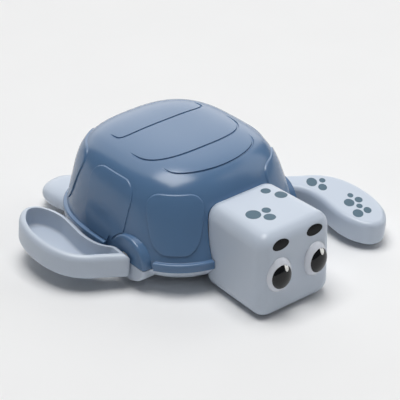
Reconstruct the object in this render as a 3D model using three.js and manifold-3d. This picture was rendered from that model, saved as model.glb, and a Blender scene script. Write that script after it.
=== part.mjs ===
// A wind-up bath turtle. A blue domed shell is screwed to a pale belly pan, a box-shaped head with
// bulging eyes sits in a pocket at the front, and two scoop flippers turn together on one axle.
// A spring motor between them is wound by turning the flippers backwards.
// Millimetres, +Z up. The origin is the middle of the flat under the belly; the head points to -Y.
import * as THREE from 'three';
import { mergeVertices } from 'three/addons/utils/BufferGeometryUtils.js';
import Module from 'manifold-3d';

// Fits
const GAP = 0.3; // between pieces that are screwed or pressed together
const RUN = 0.35; // round a turning piece
const SIDE_PLAY = 0.4; // along the axis of a turning piece

// Shell: a rounded square in plan with a ledge round its lower edge
const RIM_HALF_WIDTH = 46.4;
const RIM_HALF_LENGTH = 48.8;
const SQUARENESS = 2.78; // exponent of the plan's superellipse
const PARTING = 12.5; // height of the joint between shell and belly
const RIM_THICK = 3.9;
const RIM_LEDGE = 1.8; // how far the rim stands out from the wall
const RIM_EDGE = 0.8; // rounding of the rim's upper edge
const DOME_TOP = 53.6;
const DOME_LEAN = 0.198; // share by which the walls draw in up to the crown
const DOME_SETBACK = 2.4; // how far the crown lies behind the rim's middle
const CROWN_FLATNESS = 6.9; // exponents of the dome's profile
const SHOULDER_ROUNDNESS = 3.3;
const SHELL_WALL = 2;

// Scutes: raised panels round the wall and three curved grooves across the crown
const SCUTES = [ // degrees from the head, on each side; the middle's shift to the back; half width at the top
  { azimuth: 39, shift: 2.1, half: 13.6, narrowing: 3.5, bottom: 19.5, top: 44.1 },
  { azimuth: 90, shift: -0.2, half: 14.6, narrowing: 1.5, bottom: 17, top: 45.4 },
  { azimuth: 141, shift: -1, half: 14.8, narrowing: 4, bottom: 18, top: 46 },
];
const REAR_SCUTE = { azimuth: 180, shift: 0, half: 12.5, narrowing: 2, bottom: 18, top: 46 };
const SCUTE_CORNER = 8;
const SCUTE_RISE = 0.55;
const GROOVES = [ // from the rim's front to the middle, ends inside the rim, their sweep to the back
  { behind: 59.9, inset: 22.6, sweep: 8, bend: 6 },
  { behind: 31.6, inset: 19.4, sweep: 18, bend: 2.9 },
  { behind: 18.6, inset: 22.4, sweep: 12, bend: 2.1 },
];
const GROOVE_RADIUS = 0.8;

// Belly pan: a shallow bowl with a flat to rest on
const BELLY_INSET = 1; // how far the bowl's edge lies inside the rim
const BELLY_FLAT_INSET = 17.5; // how far the flat's edge lies inside the rim
const BELLY_BULGE = 1.3; // exponent of the bowl's curve
const BELLY_WALL = 2;
const LEG_INSET = 23.9; // of a leg's middle inside the rim's side
const LEG_PROUD = 0.2; // of its middle beyond the rim's back
const LEG_HALF = { width: 12, depth: 15, height: 5.6 };
const LEG_HEIGHT = 8;
const LEG_SPLAY = 12; // degrees
const CHEEK_WIDTH = 4; // pads that hold the head on both sides
const CHEEK_REACH = 5;
const CHEEK_FOOT = 6;

// Axle and its bosses, half in the shell and half in the belly
const AXLE_Y = -16.5;
const AXLE_RADIUS = 1.5;
const AXLE_FLAT = 1; // height of the flat on the axle's ends above its middle
const BOSS_RADIUS = 11.8;
const BOSS_INSET = 2.2; // of the boss's outer face inside the rim
const BOSS_AHEAD = 1.5; // of its middle from the axle's
const BOSS_DEPTH = 9;
const BOSS_ROUND = 1.4; // of its outer edge
const BUSH_WALL = 1.5;
const BUSH_FLANGE = 1.6;
const BUSH_FLANGE_THICK = 1.2;
const RIM_NOTCH = 2.1; // room round the boss where the rim stops
const NOTCH_STEP = 0.2; // of the rim that is left along the wall there

// Flippers: hollow scoops, the right one pointing back with its hollow up
const FLIPPER_TILT = 6; // degrees, the right tip up
const FLIPPER_RIM = 5.5; // open edge above the axle's middle
const FLIPPER_BACK = 6.5; // closed face below the axle's middle
const FLIPPER_WALL = 3;
const FLIPPER_ROUND = 2.8; // of the outer edges
const FLIPPER_HOLLOW_ROUND = 1.2; // round the hollow's floor
const FLIPPER_GAP = 0.8; // between a root and its boss
const FLIPPER_HUB_LENGTH = 5; // solid root that is pressed on the axle's end
const FLIPPER_HUB_WALL = 1.4;
const FLIPPER_BORE_DEPTH = 4.2;
const FLIPPER_OVERRUN = 10; // the plan is drawn past the root, which is then cut square
// Plan of a flipper: distance out from its root's end and distance behind the axle
const FLIPPER_PLAN = [
  [0, -6.2], [9, -0.8], [17.4, 4], [23, 10], [26.2, 17.6], [27.4, 26], [26.8, 35], [23.8, 43.4],
  [17.6, 49.4], [11.2, 48.6], [6.8, 42.8], [4.8, 35], [5, 28], [5.8, 20], [5.2, 13.5], [3.4, 9], [0, 5.4],
];

// Head: a rounded block, a little smaller at the back and at the top
const HEAD_LENGTH = 39.2;
const HEAD_SEAT = 10.3; // how far its back lies inside the rim's front
const HEAD_BOTTOM = 0.3;
const HEAD_TOP = 40.8;
const HEAD_HALF_WIDTH = 20.5;
const HEAD_TOP_TAPER = 0.6; // each side, at the top
const HEAD_BACK_TAPER = 1.6; // each side, at the back
const HEAD_CHIN_RISE = 0.4; // how much higher the chin is at the back
const HEAD_CORNER = 7; // rounding of the edges that run to the front
const HEAD_ROUND = 5.6; // rounding of the edges round the face and the back
const HEAD_WALL = 2;
const HEAD_PLATE_THICK = 2;
const HEAD_PLATE_MARGIN = 6.6; // width of the head's back edge round the plate
const NECK_RADIUS = 5;
const NECK_HEIGHT = 26;
const NECK_LENGTH = 5;

// Eyes
const EYE_X = 10.1;
const EYE_HEIGHT = 21;
const EYE_HALF = { width: 6.6, depth: 4.4, height: 8.4 };
const EYE_SINK = 0.7; // how far an eye's middle lies behind the face
const EYE_TURN = 6; // degrees outwards
const PUPIL_HALF = { width: 4.9, depth: 2.5, height: 5.8 };
const PUPIL_PROUD = 0.8; // how far a pupil stands out of its eye
const PUPIL_SHIFT = 0.2; // towards the middle

// Spring motor
const GEAR_MODULE = 0.75;
const AXLE_TEETH = 12;
const IDLER_TEETH = 24;
const PINION_TEETH = 10;
const SPRING_TEETH = 30;
const GEAR_PLAY = 0.15; // added to each centre distance
const GEAR_WIDTH = 4;
const GEAR_SPACE = 1; // between gears that lie side by side
const DRIVE_PLANE = -8; // right face of the axle gear and the idler
const PRESSURE_ANGLE = 20; // degrees
const ADDENDUM = 0.9; // height of a tooth above and below the pitch circle, in modules
const DEDENDUM = 1.2;
const TOOTH_THINNING = 0.25;
const ROOT_WIDENING = 0.02; // radians, each side of a tooth's foot
const IDLER_BEARING = 60; // degrees, direction from the axle to the idler
const SPRING_BEARING = -20; // degrees, direction from the idler to the spring gear
const PIN_RADIUS = 1.2;
const IDLER_HUB_WALL = 1;
const ARBOR_RADIUS = 2.2;
const CASE_WALL = 1.6;
const CASE_HALF_WIDTH = 12;
const CASE_ROOM = 1.2; // between the gears' tips and the case
const CASE_CORNER = 4;
const CASE_LUG_RADIUS = 3.4;
const CASE_LUG_THICK = 2.4;
const CASE_LUG_X = 7;
const CASE_LUG_HEIGHT = 10; // underside of the lugs
const SPRING_TURNS = 4;
const SPRING_THICK = 0.5;
const SPRING_WIDTH = 6;
const SPRING_OUTER = 9.4;

// Screws
const HULL_SCREW_INSET = { x: 26.4, y: 24.8 }; // inside the rim's sides and its back
const HULL_SCREW_AHEAD = 7.5; // of the front pair from the axle
const HULL_SCREW = { seat: 6, head: 2.5, headHeight: 1.8, shank: 1.1, length: 20 };
const MOTOR_SCREW = { head: 2.1, headHeight: 1.5, shank: 0.9, length: 6 };
const HEAD_SCREW = { x: 5.5, z: 15.5, head: 2.3, headHeight: 1.6, shank: 1, length: 8 };
const POST_WALL = 1.8;
const HEAD_POST_WALL = 0.9;
const SCREW_ROUNDING = 1 / 3; // share of a screw head's height

// Fineness of round pieces
const SHELL_SEGMENTS = 36;
const DOME_RINGS = 7;
const ARC_STEPS = 2; // doubled along a quarter arc
const BEVEL_STEPS = 3;
const BOWL_RINGS = 4;
const BOSS_STEPS = 3; // round the boss's outer edge
const GROOVE_STEPS = 5; // each side of the middle
const BOSS_SEGMENTS = 24;
const ROUND_SEGMENTS = 16;
const SMALL_SEGMENTS = 10;
const SPRING_STEPS = 14; // to a turn

// Finishes
const COLOURS = {
  shell: { color: 0x6f87a6, roughness: 0.38, metalness: 0 },
  skin: { color: 0xc3cfdf, roughness: 0.4, metalness: 0 },
  eyeWhite: { color: 0xe3e7ee, roughness: 0.25, metalness: 0 },
  pupil: { color: 0x14161a, roughness: 0.12, metalness: 0 },
  motor: { color: 0xd9d7cf, roughness: 0.5, metalness: 0 },
  gear: { color: 0xeeeae0, roughness: 0.45, metalness: 0 },
  steel: { color: 0xa9adb2, roughness: 0.3, metalness: 1 },
};

const wasm = await Module();
wasm.setup();
const turtle = new THREE.Group();
const radians = THREE.MathUtils.degToRad;
const FAR = 200; // reach of a cutting block beyond every piece
const PAST = 1; // how far a cut runs past the face that it opens

// A closed three.js geometry as a solid that can be joined and cut.
function solidOf(geometry) {
  const bare = geometry.clone();
  for (const name of ['normal', 'uv']) {
    bare.deleteAttribute(name);
  }
  const merged = mergeVertices(bare, 1e-4);
  const position = merged.attributes.position.array;
  const corner = (i) => new THREE.Vector3().fromArray(position, 3 * i);
  const triangles = [];
  let volume = 0;
  for (let i = 0; i < merged.index.count; i += 3) {
    const [a, b, c] = merged.index.array.slice(i, i + 3);
    if (a !== b && b !== c && c !== a) {
      triangles.push([a, b, c]);
      volume += corner(a).dot(corner(b).cross(corner(c)));
    }
  }
  const facing = volume < 0 ? triangles.map(([a, b, c]) => [a, c, b]) : triangles;
  const mesh = { numProp: 3, vertProperties: position, triVerts: new Uint32Array(facing.flat()) };
  return new wasm.Manifold(new wasm.Mesh(mesh));
}

function geometryOf(solid) {
  const mesh = solid.getMesh();
  const geometry = new THREE.BufferGeometry();
  geometry.setAttribute('position', new THREE.BufferAttribute(mesh.vertProperties, 3));
  geometry.setIndex(new THREE.BufferAttribute(mesh.triVerts, 1));
  geometry.computeVertexNormals();
  return geometry;
}

function addPiece(name, solid, finish, parent = turtle) {
  const mesh = new THREE.Mesh(geometryOf(solid), new THREE.MeshStandardMaterial(COLOURS[finish]));
  mesh.name = name;
  parent.add(mesh);
}

// A group that turns about an axis along X through (y, z).
function turningGroup(y, z, angle) {
  const group = new THREE.Group();
  group.position.set(0, y, z);
  group.rotation.x = angle;
  turtle.add(group);
  return group;
}

// Solids from plain shapes

const unite = (solids) => solids.reduce((sum, solid) => sum.add(solid));
const both = (make) => [-1, 1].map(make);
const SIDES = [['right', -1], ['left', 1]];

function block(x0, x1, y0, y1, z0, z1) {
  const geometry = new THREE.BoxGeometry(x1 - x0, y1 - y0, z1 - z0);
  return solidOf(geometry.translate((x0 + x1) / 2, (y0 + y1) / 2, (z0 + z1) / 2));
}

const below = (z) => block(-FAR, FAR, -FAR, FAR, -FAR, z);
const above = (z) => block(-FAR, FAR, -FAR, FAR, z, FAR);

// A round rod along one axis, placed by its other two coordinates.
function rod(axis, radius, start, end, place, segments = ROUND_SEGMENTS) {
  const geometry = new THREE.CylinderGeometry(radius, radius, Math.abs(end - start), segments);
  if (axis === 'x') {
    geometry.rotateZ(Math.PI / 2);
  }
  if (axis === 'z') {
    geometry.rotateX(Math.PI / 2);
  }
  const middle = { ...place, [axis]: (start + end) / 2 };
  return solidOf(geometry.translate(middle.x, middle.y, middle.z));
}

// Outlines drawn in XY are turned so that they lie in YZ and run along X.
const ALONG_X = new THREE.Matrix4().makeBasis(
  new THREE.Vector3(0, 1, 0), new THREE.Vector3(0, 0, 1), new THREE.Vector3(1, 0, 0));

function extrudedAlongX(shape, x0, x1) {
  const settings = { depth: x1 - x0, bevelEnabled: false, curveSegments: ARC_STEPS };
  return solidOf(new THREE.ExtrudeGeometry(shape, settings).applyMatrix4(ALONG_X).translate(x0, 0, 0));
}

function roundedRectangle(x0, x1, y0, y1, corner) {
  const shape = new THREE.Shape();
  shape.absarc(x1 - corner, y1 - corner, corner, 0, Math.PI / 2);
  shape.absarc(x0 + corner, y1 - corner, corner, Math.PI / 2, Math.PI);
  shape.absarc(x0 + corner, y0 + corner, corner, Math.PI, Math.PI * 1.5);
  shape.absarc(x1 - corner, y0 + corner, corner, Math.PI * 1.5, Math.PI * 2);
  return shape;
}

function ellipsoid(half, place, turn = 0) {
  const geometry = new THREE.SphereGeometry(1, ROUND_SEGMENTS, SMALL_SEGMENTS).rotateX(Math.PI / 2);
  geometry.scale(half.width, half.depth, half.height).rotateZ(radians(turn));
  return solidOf(geometry.translate(place.x, place.y, place.z));
}

const grown = (half, by) => ({ width: half.width + by, depth: half.depth + by, height: half.height + by });

function turnedGeometry(points, segments) {
  const profile = points.map(([radius, height]) => new THREE.Vector2(radius, height));
  return new THREE.LatheGeometry(profile, segments).rotateX(Math.PI / 2);
}

// A turned profile drawn out to the shell's plan: radii are distances along X. Above the rim it leans back.
function shellForm(points) {
  const geometry = turnedGeometry(points, SHELL_SEGMENTS);
  const position = geometry.attributes.position;
  for (let i = 0; i < position.count; i += 1) {
    const [x, y] = [position.getX(i), position.getY(i)];
    const square = (Math.abs(x) ** SQUARENESS + Math.abs(y) ** SQUARENESS) ** (1 / SQUARENESS);
    const reach = square > 0 ? Math.hypot(x, y) / square : 1;
    const up = Math.max(0, position.getZ(i) - RIM_TOP) / (DOME_TOP - RIM_TOP);
    position.setX(i, x * reach);
    position.setY(i, y * reach * (RIM_HALF_LENGTH / RIM_HALF_WIDTH) + DOME_SETBACK * up);
  }
  return solidOf(geometry);
}

// The dome's profile from the crown down to the rim, drawn `inset` inside the outer surface.
function domeProfile(inset, rings) {
  const wall = RIM_HALF_WIDTH - RIM_LEDGE - inset;
  const rise = DOME_TOP - inset - RIM_TOP;
  const points = [];
  for (let i = rings; i >= 0; i -= 1) {
    const angle = (Math.PI / 2) * (i / rings);
    const height = Math.sin(angle) ** (2 / CROWN_FLATNESS);
    const round = i === rings ? 0 : Math.cos(angle) ** (2 / SHOULDER_ROUNDNESS);
    points.push([wall * (1 - DOME_LEAN * height) * round, RIM_TOP + rise * height]);
  }
  return points;
}

// The head's block, grown on every side, so that its pocket and its hollow follow it.
function headBlock(grow) {
  const [round, corner] = [HEAD_ROUND + grow, HEAD_CORNER + grow];
  const halfWidth = HEAD_HALF_WIDTH + grow;
  const [bottom, top] = [HEAD_BOTTOM - grow, HEAD_TOP + grow];
  const shape = roundedRectangle(-halfWidth, halfWidth, bottom, top, corner);
  const geometry = new THREE.ExtrudeGeometry(shape, {
    depth: HEAD_BACK - HEAD_FRONT + 2 * (grow - round),
    bevelThickness: round,
    bevelSize: round,
    bevelOffset: -round,
    bevelSegments: BEVEL_STEPS,
    curveSegments: ARC_STEPS,
  });
  geometry.rotateX(Math.PI / 2).translate(0, HEAD_BACK + grow - round, 0);
  const position = geometry.attributes.position;
  for (let i = 0; i < position.count; i += 1) {
    const back = (position.getY(i) - HEAD_FRONT) / (HEAD_BACK - HEAD_FRONT);
    const up = (position.getZ(i) - HEAD_BOTTOM) / (HEAD_TOP - HEAD_BOTTOM);
    const taper = (HEAD_BACK_TAPER * back + HEAD_TOP_TAPER * up) / HEAD_HALF_WIDTH;
    position.setX(i, position.getX(i) * (1 - taper));
    position.setZ(i, position.getZ(i) + HEAD_CHIN_RISE * back * (1 - up));
  }
  return solidOf(geometry);
}

// A pan-head screw along +Z, with the underside of its head at the origin.
function screwGeometry({ head, headHeight, shank, length }) {
  const edge = headHeight * SCREW_ROUNDING;
  return turnedGeometry([
    [0, -headHeight], [head - edge, -headHeight], [head, -headHeight + edge], [head, 0],
    [shank, 0], [shank, length - shank], [0, length],
  ], SMALL_SEGMENTS);
}

// Places shared by several pieces
const BOSS_FACE = RIM_HALF_WIDTH - BOSS_INSET;
const FLIPPER_ROOT = BOSS_FACE + FLIPPER_GAP;
const HEAD_BACK = HEAD_SEAT - RIM_HALF_LENGTH;
const HEAD_FRONT = HEAD_BACK - HEAD_LENGTH;
const RIM_TOP = PARTING + RIM_THICK;
const BELLY_TOP = PARTING - GAP;
const AXLE = { y: AXLE_Y, z: PARTING };
const BOSS = { y: AXLE_Y - BOSS_AHEAD, z: PARTING };
const BUSH_BORE = AXLE_RADIUS + RUN;
const BUSH_RADIUS = BUSH_BORE + BUSH_WALL;
const BOSS_BACK = BOSS_FACE - BOSS_DEPTH;
const HULL_SCREW_ROWS = [AXLE_Y - HULL_SCREW_AHEAD, RIM_HALF_LENGTH - HULL_SCREW_INSET.y];
const HULL_SCREWS = both((side) => HULL_SCREW_ROWS.map((y) => ({
  x: side * (RIM_HALF_WIDTH - HULL_SCREW_INSET.x), y,
}))).flat();
const POST_RADIUS = HULL_SCREW.head + GAP + POST_WALL;
const SHELL_POST_RADIUS = HULL_SCREW.shank + GAP + POST_WALL;
const headSpace = headBlock(GAP);
const pocketWall = headBlock(GAP + SHELL_WALL);

const bossProfile = [[0, BOSS_BACK], [BOSS_RADIUS, BOSS_BACK]];
for (let i = 0; i <= BOSS_STEPS; i += 1) {
  const angle = (Math.PI / 2) * (i / BOSS_STEPS);
  bossProfile.push([
    BOSS_RADIUS - BOSS_ROUND * (1 - Math.cos(angle)), BOSS_FACE - BOSS_ROUND * (1 - Math.sin(angle))]);
}
bossProfile.push([0, BOSS_FACE]);
const bosses = unite(both((side) => {
  const boss = turnedGeometry(bossProfile, BOSS_SEGMENTS).rotateY(side * (Math.PI / 2));
  return solidOf(boss.translate(0, BOSS.y, BOSS.z));
}));
const bushSeats = rod('x', BUSH_RADIUS + GAP, -FAR, FAR, AXLE);
const bushSeatEnds = bushSeats.subtract(block(-BOSS_BACK + PAST, BOSS_BACK - PAST, -FAR, FAR, -FAR, FAR));
// Where the rim stops short of the turning flipper roots, back to the wall round each boss
const rimNotch = (start) => unite(both((side) => (
  rod('x', BOSS_RADIUS + RIM_NOTCH, side * start, side * FAR, BOSS, BOSS_SEGMENTS))));
const rimNotches = rimNotch(BOSS_FACE);
const wallFoot = shellForm([
  [0, RIM_TOP + PAST], [RIM_HALF_WIDTH - RIM_LEDGE + NOTCH_STEP, RIM_TOP + PAST],
  [RIM_HALF_WIDTH - RIM_LEDGE + NOTCH_STEP, PARTING - PAST], [0, PARTING - PAST],
]);
const ledgeGaps = rimNotch(BOSS_BACK).subtract(wallFoot).subtract(above(RIM_TOP + PAST)).subtract(bosses);
const hullScrewEnd = HULL_SCREW.seat + HULL_SCREW.length + PAST;
const hullScrewBores = unite(HULL_SCREWS.map((place) => (
  rod('z', HULL_SCREW.shank + GAP, 0, hullScrewEnd, place, SMALL_SEGMENTS))));
const NECK = { x: 0, z: NECK_HEIGHT };
const neckHole = rod('y', NECK_RADIUS + GAP, HEAD_BACK - PAST, HEAD_BACK + NECK_LENGTH + PAST, NECK);
const headScrewPlaces = both((side) => ({ x: side * HEAD_SCREW.x, z: HEAD_SCREW.z }));
const headScrewHoles = unite(headScrewPlaces.map((place) => (
  rod('y', HEAD_SCREW.shank + GAP, HEAD_BACK - PAST, HEAD_BACK + HEAD_SCREW.length, place,
    SMALL_SEGMENTS))));

// Upper shell

// A panel's outline drawn out through the wall, narrower towards its bottom.
function scutePanel({ azimuth, shift, half, narrowing, bottom, top }, side) {
  const outline = roundedRectangle(-half, half, bottom, top, SCUTE_CORNER).getPoints(ARC_STEPS);
  const points = outline.map(({ x, y }) => {
    const drop = (top - y) / (top - bottom);
    return new THREE.Vector2(side * shift + x * (1 - (narrowing / half) * drop), y);
  });
  const settings = { depth: 2 * RIM_HALF_LENGTH, bevelEnabled: false };
  const geometry = new THREE.ExtrudeGeometry(new THREE.Shape(points), settings);
  return solidOf(geometry.rotateX(Math.PI / 2).rotateZ(side * radians(azimuth)));
}

// Height of the dome over a place on its crown.
function crownHeight(x, y) {
  const along = (y - DOME_SETBACK) * (RIM_HALF_WIDTH / RIM_HALF_LENGTH);
  const plan = (Math.abs(x) ** SQUARENESS + Math.abs(along) ** SQUARENESS) ** (1 / SQUARENESS);
  const share = plan / ((RIM_HALF_WIDTH - RIM_LEDGE) * (1 - DOME_LEAN));
  const height = Math.max(0, 1 - share ** SHOULDER_ROUNDNESS) ** (1 / CROWN_FLATNESS);
  return RIM_TOP + (DOME_TOP - RIM_TOP) * height;
}

function grooveCut({ behind, inset, sweep, bend }) {
  const points = [];
  for (let i = -GROOVE_STEPS; i <= GROOVE_STEPS; i += 1) {
    const angle = (Math.PI / 2) * (Math.abs(i) / GROOVE_STEPS);
    const out = Math.sin(angle) ** (2 / bend);
    const back = 1 - Math.cos(angle) ** (2 / bend);
    const [x, y] = [Math.sign(i) * (RIM_HALF_WIDTH - inset) * out, behind - RIM_HALF_LENGTH + sweep * back];
    points.push(new THREE.Vector3(x, y, crownHeight(x, y)));
  }
  const section = new THREE.Shape().absarc(0, 0, GROOVE_RADIUS, 0, Math.PI * 2);
  const extrudePath = new THREE.CatmullRomCurve3(points);
  const settings = { steps: 2 * GROOVE_STEPS, extrudePath, curveSegments: ARC_STEPS };
  return solidOf(new THREE.ExtrudeGeometry(section, settings));
}

const scuteSkin = shellForm([...domeProfile(-SCUTE_RISE, DOME_RINGS), [0, RIM_TOP]]);
const sideScutes = both((side) => SCUTES.map((scute) => scutePanel(scute, side))).flat();
const bossRoom = rod('x', BOSS_RADIUS, -FAR, FAR, BOSS, BOSS_SEGMENTS);
const scutes = unite([...sideScutes, scutePanel(REAR_SCUTE, 1)]).intersect(scuteSkin).subtract(bossRoom);
const shellCavity = shellForm([
  ...domeProfile(SHELL_WALL, DOME_RINGS - 2),
  [RIM_HALF_WIDTH - RIM_LEDGE - SHELL_WALL, PARTING - PAST],
  [0, PARTING - PAST],
]);
const shellPosts = unite(HULL_SCREWS.map((place) => (
  rod('z', SHELL_POST_RADIUS, PARTING, DOME_TOP, place, SMALL_SEGMENTS))));
const shellOutside = shellForm([
  ...domeProfile(0, DOME_RINGS),
  [RIM_HALF_WIDTH - RIM_EDGE, RIM_TOP], [RIM_HALF_WIDTH, RIM_TOP - RIM_EDGE],
  [RIM_HALF_WIDTH, PARTING], [0, PARTING],
]);
const upperShell = shellOutside
  .add(scutes)
  .subtract(unite(GROOVES.map(grooveCut)))
  .subtract(shellCavity.subtract(pocketWall).subtract(shellPosts))
  .add(bosses.intersect(above(PARTING)))
  .subtract(headSpace)
  .subtract(rimNotches.add(ledgeGaps))
  .subtract(bushSeatEnds)
  .subtract(hullScrewBores)
  .subtract(neckHole)
  .subtract(headScrewHoles);
addPiece('upper_shell', upperShell, 'shell');

// Spring motor places: the axle, the idler and the spring gear in the YZ plane
const pitchRadius = (teeth) => (GEAR_MODULE * teeth) / 2;
const tipRadius = (teeth) => pitchRadius(teeth) + GEAR_MODULE * ADDENDUM;

function meshingPlace(from, bearing, teeth, otherTeeth) {
  const distance = pitchRadius(teeth) + pitchRadius(otherTeeth) + GEAR_PLAY;
  return {
    y: from.y + distance * Math.cos(radians(bearing)),
    z: from.z + distance * Math.sin(radians(bearing)),
  };
}

const IDLER = meshingPlace(AXLE, IDLER_BEARING, AXLE_TEETH, IDLER_TEETH);
const SPRING = meshingPlace(IDLER, SPRING_BEARING, PINION_TEETH, SPRING_TEETH);
const caseMargin = CASE_ROOM + CASE_WALL;
const CASE = {
  front: AXLE.y - tipRadius(AXLE_TEETH) - caseMargin,
  back: SPRING.y + tipRadius(SPRING_TEETH) + caseMargin,
  bottom: SPRING.z - tipRadius(SPRING_TEETH) - caseMargin,
  top: IDLER.z + tipRadius(IDLER_TEETH) + caseMargin,
};
const lugPlaces = SIDES.flatMap(([, side]) => [
  { x: side * CASE_LUG_X, y: CASE.front - CASE_LUG_RADIUS },
  { x: side * CASE_LUG_X, y: CASE.back + CASE_LUG_RADIUS },
]);

// Belly pan

function bowlProfile(inset, top) {
  const flat = RIM_HALF_WIDTH - BELLY_FLAT_INSET - inset;
  const edge = RIM_HALF_WIDTH - BELLY_INSET - inset;
  const points = [[0, inset]];
  for (let i = 0; i <= BOWL_RINGS; i += 1) {
    const angle = (Math.PI / 2) * (i / BOWL_RINGS);
    const out = Math.sin(angle) ** (2 / BELLY_BULGE);
    const down = Math.cos(angle) ** (2 / BELLY_BULGE);
    points.push([flat + (edge - flat) * out, inset + (BELLY_TOP - inset) * (1 - down)]);
  }
  return [...points, [edge, top], [0, top]];
}

const LEG = { x: RIM_HALF_WIDTH - LEG_INSET, y: RIM_HALF_LENGTH + LEG_PROUD, z: LEG_HEIGHT };
const legs = unite(both((side) => ellipsoid(LEG_HALF, { ...LEG, x: side * LEG.x }, -side * LEG_SPLAY)));
const cheekOuter = HEAD_HALF_WIDTH - HEAD_BACK_TAPER + CHEEK_WIDTH;
const cheekBlock = block(
  -cheekOuter, cheekOuter, HEAD_BACK - CHEEK_REACH, HEAD_BACK + CHEEK_REACH, CHEEK_FOOT, BELLY_TOP);
const bellyPosts = unite([
  ...HULL_SCREWS.map((place) => rod('z', POST_RADIUS, 0, BELLY_TOP, place, SMALL_SEGMENTS)),
  ...lugPlaces.map((place) => rod('z', CASE_LUG_RADIUS, 0, CASE_LUG_HEIGHT - GAP, place, SMALL_SEGMENTS)),
]);
const hullScrewWells = unite(HULL_SCREWS.map((place) => (
  rod('z', HULL_SCREW.head + GAP, -PAST, HULL_SCREW.seat, place, SMALL_SEGMENTS))));
const motorScrewBores = unite(lugPlaces.map((place) => (
  rod('z', MOTOR_SCREW.shank + GAP, BELLY_WALL, CASE.top, place, SMALL_SEGMENTS))));
const bowlHollow = shellForm(bowlProfile(BELLY_WALL, BELLY_TOP + PAST));
const bellyPan = shellForm(bowlProfile(0, BELLY_TOP))
  .add(legs.intersect(below(BELLY_TOP)))
  .add(bosses.intersect(below(BELLY_TOP)))
  .add(cheekBlock)
  .subtract(bowlHollow.subtract(bosses).subtract(pocketWall).subtract(bellyPosts))
  .subtract(headSpace)
  .subtract(rimNotches)
  .subtract(bushSeatEnds)
  .subtract(hullScrewWells)
  .subtract(hullScrewBores)
  .subtract(motorScrewBores);
addPiece('belly_pan', bellyPan, 'skin');

HULL_SCREWS.forEach(({ x, y }, i) => {
  const screw = screwGeometry(HULL_SCREW).translate(x, y, HULL_SCREW.seat - GAP);
  addPiece(`hull_screw_${i + 1}`, solidOf(screw), 'steel');
});

// Head with its back plate, neck and eyes

const plateHalf = HEAD_HALF_WIDTH - HEAD_BACK_TAPER - HEAD_PLATE_MARGIN;
const plateBottom = HEAD_BOTTOM + HEAD_CHIN_RISE + HEAD_PLATE_MARGIN;
const plateTop = HEAD_TOP - HEAD_PLATE_MARGIN;
const backOpening = block(
  -plateHalf, plateHalf, HEAD_BACK - HEAD_WALL - HEAD_ROUND, HEAD_BACK + PAST, plateBottom, plateTop);
const eyePlace = (side) => ({ x: side * EYE_X, y: HEAD_FRONT + EYE_SINK, z: EYE_HEIGHT });
const eyeSockets = unite(both((side) => ellipsoid(grown(EYE_HALF, GAP), eyePlace(side), side * EYE_TURN)));
const headShell = headBlock(0).subtract(headBlock(-HEAD_WALL)).subtract(backOpening).subtract(eyeSockets);
addPiece('head_shell', headShell, 'skin');

const plate = block(
  -plateHalf + GAP, plateHalf - GAP, HEAD_BACK - HEAD_PLATE_THICK, HEAD_BACK,
  plateBottom + GAP, plateTop - GAP);
const neck = rod('y', NECK_RADIUS, HEAD_BACK - PAST, HEAD_BACK + NECK_LENGTH, NECK);
const platePosts = unite(headScrewPlaces.map((place) => (
  rod('y', HEAD_SCREW.shank + GAP + HEAD_POST_WALL, HEAD_BACK - HEAD_SCREW.length, HEAD_BACK, place,
    SMALL_SEGMENTS))));
const plateBores = unite(headScrewPlaces.map((place) => (
  rod('y', HEAD_SCREW.shank + GAP, HEAD_BACK - HEAD_SCREW.length + PAST, HEAD_BACK + PAST, place,
    SMALL_SEGMENTS))));
addPiece('head_back_plate', plate.add(neck).add(platePosts).subtract(plateBores), 'skin');

SIDES.forEach(([name, side]) => {
  const eye = eyePlace(side);
  const turn = side * EYE_TURN;
  const pupil = {
    x: eye.x + side * (Math.sin(radians(EYE_TURN)) * EYE_HALF.depth - PUPIL_SHIFT),
    y: eye.y - EYE_HALF.depth + PUPIL_HALF.depth - PUPIL_PROUD,
    z: eye.z,
  };
  const pupilSeat = ellipsoid(grown(PUPIL_HALF, GAP), pupil, turn);
  addPiece(`eye_white_${name}`, ellipsoid(EYE_HALF, eye, turn).subtract(pupilSeat), 'eyeWhite');
  addPiece(`pupil_${name}`, ellipsoid(PUPIL_HALF, pupil, turn), 'pupil');

  const place = { x: side * HEAD_SCREW.x, y: HEAD_BACK + SHELL_WALL + 2 * GAP, z: HEAD_SCREW.z };
  const screw = screwGeometry(HEAD_SCREW).rotateX(Math.PI / 2).translate(place.x, place.y, place.z);
  addPiece(`head_screw_${name}`, solidOf(screw), 'steel');
});

// Flippers, turning with the axle

const flippers = turningGroup(AXLE.y, AXLE.z, radians(FLIPPER_TILT));
const AXIS = { y: 0, z: 0 };
const HUB_END = FLIPPER_ROOT + FLIPPER_HUB_LENGTH;
const BORE_END = FLIPPER_ROOT + FLIPPER_BORE_DEPTH;
const HUB_RADIUS = AXLE_RADIUS + GAP + FLIPPER_HUB_WALL;

// A scoop's plan drawn up from its floor with rounded edges; `inset` sets its hollow inside its walls.
function scoop(inset, floor, top, round) {
  const [first, ...rest] = FLIPPER_PLAN.map(([out, along]) => new THREE.Vector2(FLIPPER_ROOT + out, along));
  const last = rest[rest.length - 1];
  const shape = new THREE.Shape().moveTo(first.x - FLIPPER_OVERRUN, first.y).lineTo(first.x, first.y);
  shape.splineThru(rest).lineTo(last.x - FLIPPER_OVERRUN, last.y);
  const geometry = new THREE.ExtrudeGeometry(shape, {
    depth: top - floor - 2 * round,
    bevelThickness: round,
    bevelSize: round,
    bevelOffset: -round - inset,
    bevelSegments: BEVEL_STEPS,
    curveSegments: ARC_STEPS,
  });
  return geometry.translate(0, 0, floor + round);
}

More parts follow.
